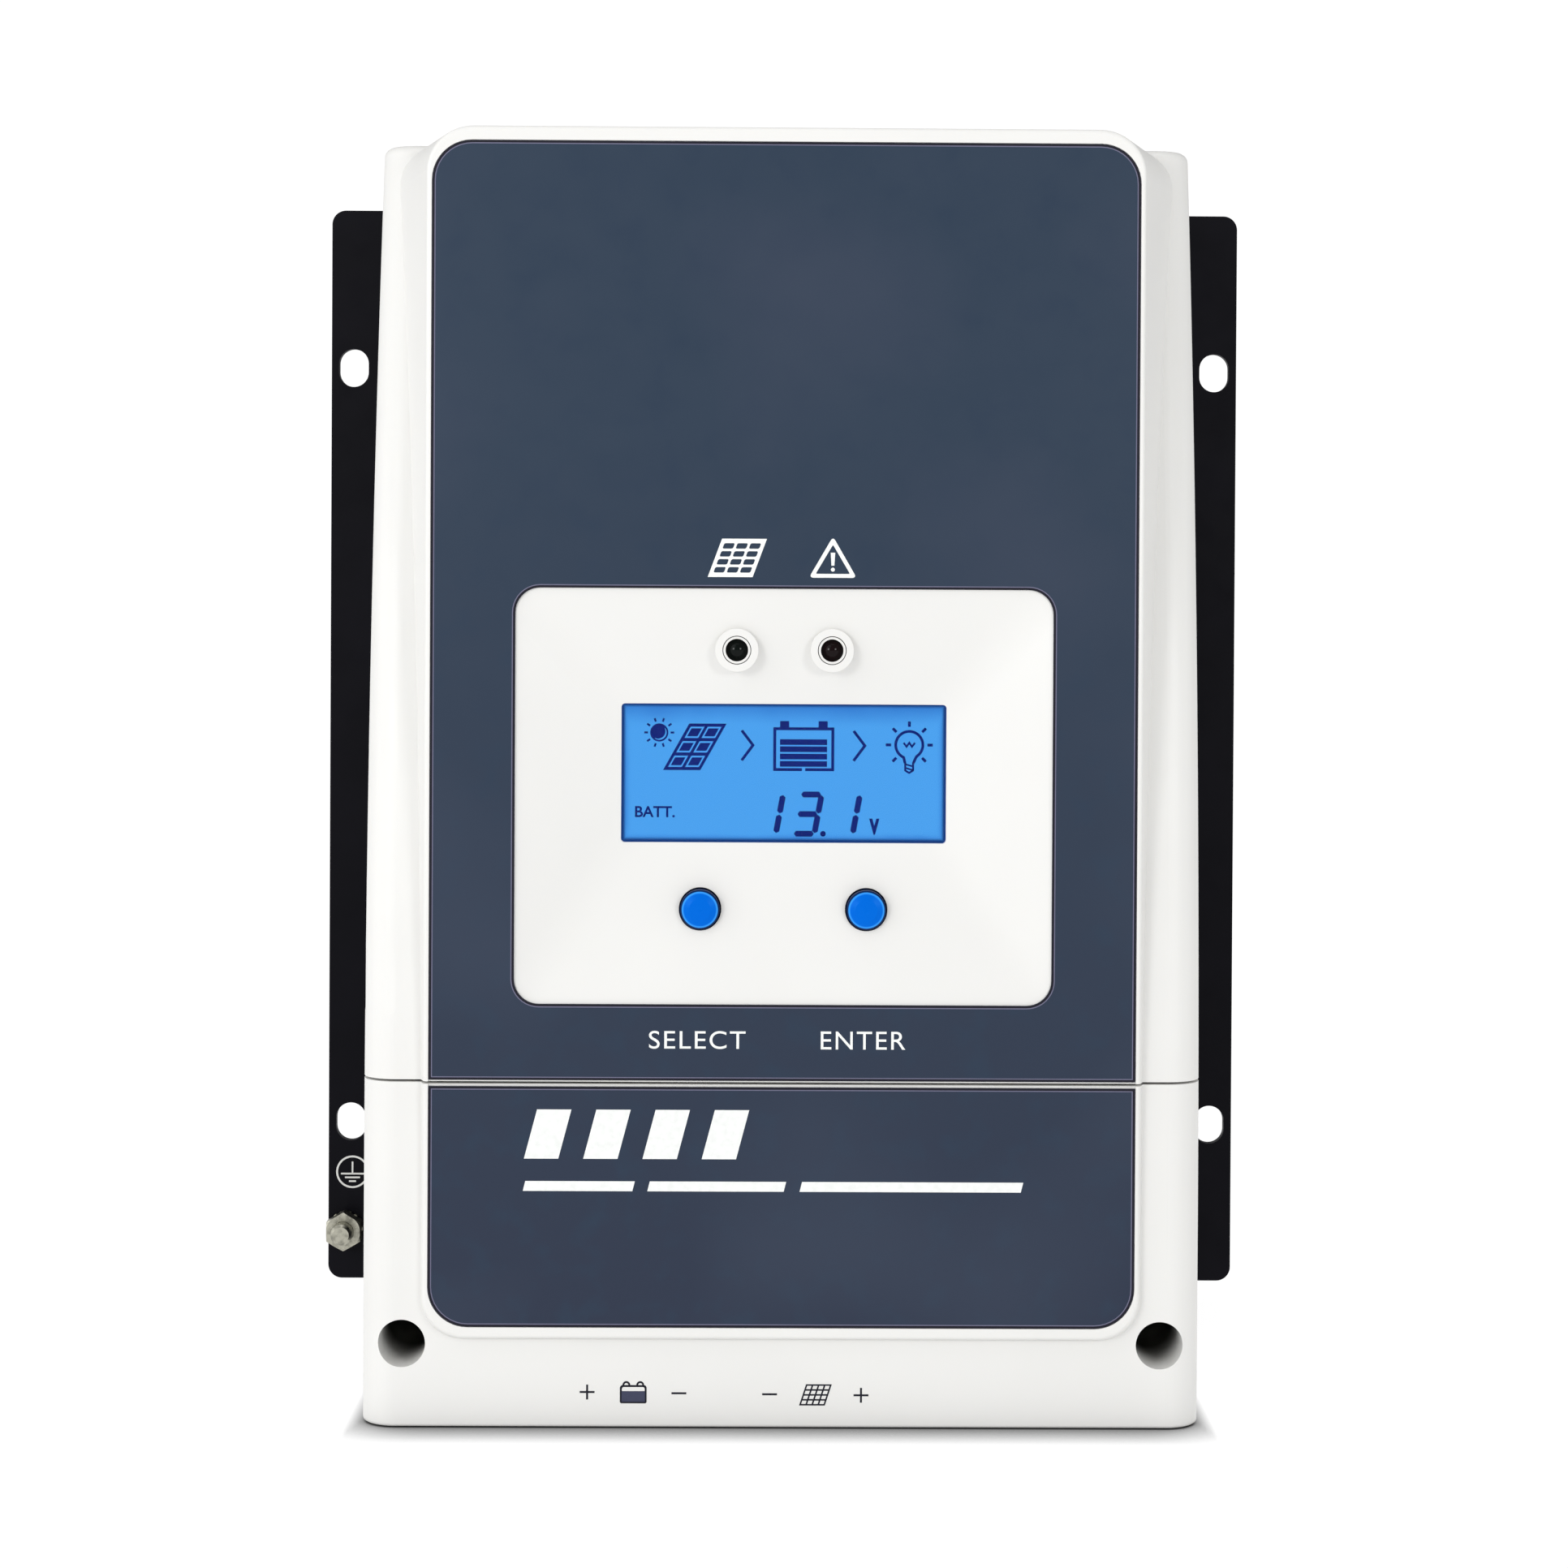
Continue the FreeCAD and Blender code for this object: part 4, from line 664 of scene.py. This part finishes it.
def earth_mark():
    """The earth sign printed on the left ear, above the ground stud."""
    white = ink("ear_ink", srgb(226, 226, 222))
    x, z = -102.3, -102.1
    body = "controller"
    ring = [ring_points(x, z, 3.9, 56), ring_points(x, z, 3.45, 56)[::-1]]
    flat_mark("earth_ring", ring, EAR_FRONT, white, body)
    z -= 0.45
    flat_mark("earth_stem", [rect(x - 0.2, x + 0.2, z, z + 2.9)], EAR_FRONT, white, body)
    for number, (half, drop) in enumerate(((2.75, 0.0), (1.8, 0.9), (0.85, 1.8))):
        bar = rect(x - half, x + half, z - drop - 0.2, z - drop + 0.2)
        flat_mark(f"earth_bar_{number + 1}", [bar], EAR_FRONT, white, body)


# ---------------------------------------------------------------- display contents

def display_marks():
    """What the display shows: sun and panel, battery, lamp, and a battery voltage."""
    dark = ink("segment_ink", (0.0010, 0.0135, 0.190, 1), 0.6, 0.05)

    def mark(name, loops):
        return flat_mark("segment_" + name, loops, GLASS_FRONT, dark, "controller",
                         INK_THIN)

    sun_segments(mark)
    place = lean(-24.6, 0.96, 9.5, 5.3)
    cell = (2.8, 2.3)
    sheet, spots = panel_icon(place, (7.6, 9.5), (2, 3), cell, (0.66, 0.66), 0.02)
    mark("panel", sheet)
    inset = 0.34
    for number, (u, v) in enumerate(spots):
        corners = rect(u + inset, u + cell[0] - inset, v + inset, v + cell[1] - inset)
        mark(f"panel_cell_{number}", [[place(*corner) for corner in corners]])
    for name, x in (("arrow_left", -8.6), ("arrow_right", 14.2)):
        mark(name, [stroke([(x, 9.1), (x + 2.3, 6.1), (x, 3.0)], 0.58)])
    battery_segments(mark)
    bulb_segments(mark)
    digits(mark)
    legend("segment_caption", "BATT.", (-26.2, -7.55), 2.3, 8.1, GLASS_FRONT, dark,
           "controller", INK_THIN, 0.03, 1.0)
    legend("segment_unit", "V", (18.5, -10.4), 3.3, 2.1, GLASS_FRONT, dark,
           "controller", INK_THIN, 0.1)


def sun_segments(mark):
    x, z = -25.4, 8.6
    outer = [math.radians(angle) for angle in range(-120, 31, 10)]
    crescent = [(x + 1.5 * math.cos(a), z + 1.5 * math.sin(a)) for a in outer]
    crescent += [(x - 0.24 + 1.5 * math.cos(a), z + 0.24 + 1.5 * math.sin(a)) for a in reversed(outer)]
    mark("sun", [ring_points(x, z, 1.85), crescent[::-1]])
    for number in range(10):
        angle = math.tau * number / 10
        way = Vector((math.cos(angle), math.sin(angle)))
        middle = Vector((x, z))
        ray = stroke([tuple(middle + way * reach) for reach in (2.3, 3.05)], 0.4)
        mark(f"sun_ray_{number}", [ray])


def battery_segments(mark):
    left, right, low, high, wall = -2.17, 10.26, 0.87, 9.8, 0.6
    inner = [(3.7, low + wall), (left + wall, low + wall), (left + wall, high - wall),
             (right - wall, high - wall), (right - wall, low + wall), (4.35, low + wall)]
    outer = [(4.35, low), (right, low), (right, high), (left, high), (left, low)]
    mark("battery", [[(3.7, low)] + inner + outer])
    for number, x in enumerate((-0.8, 7.05)):
        mark(f"battery_post_{number}", [rect(x, x + 1.85, high, high + 1.26)])
    for number, level in enumerate((6.2, 4.75, 3.25, 1.75)):
        mark(f"battery_bar_{number}", [rect(-0.8, 8.8, level, level + 1.15)])


def bulb_segments(mark):
    x, z, radius = 25.55, 6.3, 2.77
    start, end = math.radians(-66), math.radians(246)
    steps = [start + (end - start) * i / 40 for i in range(41)]
    arc = [(x + radius * math.cos(a), z + radius * math.sin(a)) for a in steps]
    mark("bulb", [stroke([(x + 0.85, 2.6)] + arc[:0:-1][::-1] + [(x - 0.85, 2.6)], 0.56)])
    cap = [(x - 0.8, 2.7), (x - 0.8, 1.1), (x, 0.6), (x + 0.8, 1.1), (x + 0.8, 2.7)]
    mark("bulb_cap", [stroke(cap, 0.4)])
    for number, level in enumerate((2.35, 1.6)):
        mark(f"bulb_thread_{number}", [stroke([(x - 0.7, level), (x + 0.7, level - 0.4)], 0.34)])
    mark("bulb_filament", [stroke([(x - 1.15, 6.75), (x - 0.55, 5.95), (x, 6.75), (x + 0.55, 5.95),
                                   (x + 1.15, 6.75)], 0.4)])
    for number, degrees in enumerate((-45, 0, 45, 90, 135, 180, 225)):
        way = Vector((math.cos(math.radians(degrees)), math.sin(math.radians(degrees))))
        middle = Vector((x, z))
        ray = stroke([tuple(middle + way * reach) for reach in (3.7, 4.8)], 0.58)
        mark(f"bulb_ray_{number}", [ray])


SEGMENTS = {
    # name: (bar start, bar end) in a digit of unit width and height
    "top": ((0, 1), (1, 1)),
    "upper_right": ((1, 1), (1, 0.5)),
    "lower_right": ((1, 0.5), (1, 0)),
    "bottom": ((0, 0), (1, 0)),
    "middle": ((0, 0.5), (1, 0.5)),
}
DIGITS = {
    "1": ("upper_right", "lower_right"),
    "3": ("top", "upper_right", "middle", "lower_right", "bottom"),
}


def digits(mark):
    """Leaning seven-bar numerals that read 13.1."""
    wide, tall, slant, low = 4.3, 8.0, 1.45, -11.9
    for place_number, (character, left) in enumerate((("1", -5.85), ("3", 2.0), ("1", 9.8))):
        for bar in DIGITS[character]:
            start, end = (Vector((left + wide * u + slant * v, low + tall * v))
                          for u, v in SEGMENTS[bar])
            way = (end - start).normalized()
            side = Vector((-way.y, way.x)) * 0.6
            first = start + way * 0.12
            last = end - way * 0.12
            nose = way * 0.42
            loop = [first, first + nose + side, last - nose + side,
                    last, last - nose - side, first + nose - side]
            mark(f"digit_{place_number}_{bar}", [[tuple(point) for point in loop]])
    mark("point", [ring_points(8.05, -11.9, 0.58, 16)])


# ---------------------------------------------------------------- floor, light and camera

def stage_floor():
    """A pale floor that glows white, but for a soft painted shade close under the case and no wider
    than it.
    """
    floor_height = cad_box[0].z - 0.0003
    mesh = bpy.data.meshes.new("floor")
    size = 6.0
    corners = rect(-size, size, -size, size)
    mesh.from_pydata([(x, y, floor_height) for x, y in corners], [], [(0, 1, 2, 3)])
    floor = bpy.data.objects.new("floor", mesh)
    bpy.context.scene.collection.objects.link(floor)
    paint = Paint("floor_white", (0.07, 0.07, 0.07, 1), 0.8, Specular_IOR_Level=0.05)
    paint.bump(paint.noise(4, 2.0), 0.02, 0.1)
    near = paint.add("ShaderNodeAmbientOcclusion", samples=8, Distance=SHADE_REACH * MM)
    across, _ = paint.from_middle(CASE_HALF, 0)
    beside = paint.add("ShaderNodeMapRange", [("Value", across)], From_Min=-1.0 * MM,
                       From_Max=3.0 * MM)
    # Painted shade: the floor's glow dims where the case is near, and the dimming is cut off beside the
    # case.
    shade = paint.math("POWER", near.outputs["AO"], SHADE_DEPTH)
    painted_shade_factor = paint.math("MAXIMUM", shade, beside.outputs["Result"])
    glow = paint.math("MULTIPLY", painted_shade_factor, FLOOR_GLOW)
    paint.set("Emission Color", (1, 1, 1, 1))
    paint.tree.links.new(glow, paint.shader.inputs["Emission Strength"])
    mesh.materials.append(paint.material)


def area_light(name, place, target, size, power, color=(1, 1, 1)):
    light = bpy.data.lights.new(name, "AREA")
    light.shape = "RECTANGLE"
    light.size, light.size_y = size
    light.energy = power
    light.color = color
    holder = bpy.data.objects.new(name, light)
    holder.location = place
    holder.rotation_mode = "QUATERNION"
    holder.rotation_quaternion = (Vector(target) - Vector(place)).to_track_quat("-Z", "Y")
    bpy.context.scene.collection.objects.link(holder)


def light_from(name, azimuth, elevation, distance, size, strength):
    """A soft panel aimed at the case. Azimuth 0 is straight in front, and it grows to the right."""
    turn = math.radians(azimuth)
    rise = math.radians(elevation)
    way = Vector((math.sin(turn) * math.cos(rise), -math.cos(turn) * math.cos(rise), math.sin(rise)))
    target = Vector((0, -0.1, 0))
    power = strength * math.pi ** 2 * distance ** 2
    area_light(name, target + way * distance, target, size, power)


def light_scene():
    """An even white surround, a large key on the upper left and small panels for the lamps' glints."""
    world = bpy.data.worlds.new("studio")
    bpy.context.scene.world = world
    world.use_nodes = True
    tree = world.node_tree
    surround = tree.nodes["Background"]
    surround.inputs["Color"].default_value = (1, 1, 1, 1)
    surround.inputs["Strength"].default_value = 0.49
    backdrop = tree.nodes.new("ShaderNodeBackground")
    backdrop.inputs["Color"].default_value = (1, 1, 1, 1)
    backdrop.inputs["Strength"].default_value = 1.05
    path = tree.nodes.new("ShaderNodeLightPath")
    blend = tree.nodes.new("ShaderNodeMixShader")
    tree.links.new(path.outputs["Is Camera Ray"], blend.inputs["Fac"])
    tree.links.new(surround.outputs["Background"], blend.inputs[1])
    tree.links.new(backdrop.outputs["Background"], blend.inputs[2])
    tree.links.new(blend.outputs["Shader"], tree.nodes["World Output"].inputs["Surface"])
    light_from("key", -48, 25, 1.3, (1.3, 1.3), 0.29)
    light_from("glint_left", -33, 13, 0.9, (0.22, 0.22), 0.17)
    light_from("glint_right", 33, 13, 0.9, (0.22, 0.22), 0.17)
    light_from("side_left", -85, 5, 1.2, (0.7, 0.7), 0.12)
    light_from("side_right", 85, 5, 1.2, (0.7, 0.7), 0.06)
    light_from("top", 0, 72, 1.2, (0.7, 0.7), 0.13)
    bpy.context.scene.view_settings.view_transform = "Standard"


def place_camera():
    """Close to the front and just above the middle, looking very slightly down."""
    camera = bpy.data.cameras.new("camera")
    camera.lens = 69.887
    camera.sensor_width = 36.0
    camera.shift_x = -0.0128
    camera.shift_y = -0.1065
    camera.clip_start = 0.01
    camera.clip_end = 50
    holder = bpy.data.objects.new("camera", camera)
    heading = Matrix.Rotation(math.radians(-0.541), 4, "Z")
    pitch = Matrix.Rotation(math.radians(90 - 0.58), 4, "X")
    roll = Matrix.Rotation(math.radians(0.318), 4, "Z")
    spot = Matrix.Translation((-1.894 * MM, -729.696 * MM, 38.55 * MM))
    holder.matrix_world = spot @ heading @ pitch @ roll
    bpy.context.scene.collection.objects.link(holder)
    bpy.context.scene.camera = holder


def soften_edges():
    """A small round on the sharp edges of the metal and case pieces, which catches the light."""
    widths = {"mounting_ear_left": 0.25, "mounting_ear_right": 0.25, "heat_sink": 0.2,
              "entry_plate": 0.2, "ground_nut": 0.12}
    for name, wide in widths.items():
        modifier = nodes[name].modifiers.new("soft_edge", "BEVEL")
        modifier.width = wide * MM
        modifier.segments = 2
        modifier.limit_method = "ANGLE"
        modifier.angle_limit = math.radians(40)
        modifier.harden_normals = True


place_camera()
light_scene()
stage_floor()
finishes = make_materials()
dress_nodes(finishes)
soften_edges()
film_borders()
film_prints()
pole_marks()
lamp_rings(finishes)
earth_mark()
display_marks()
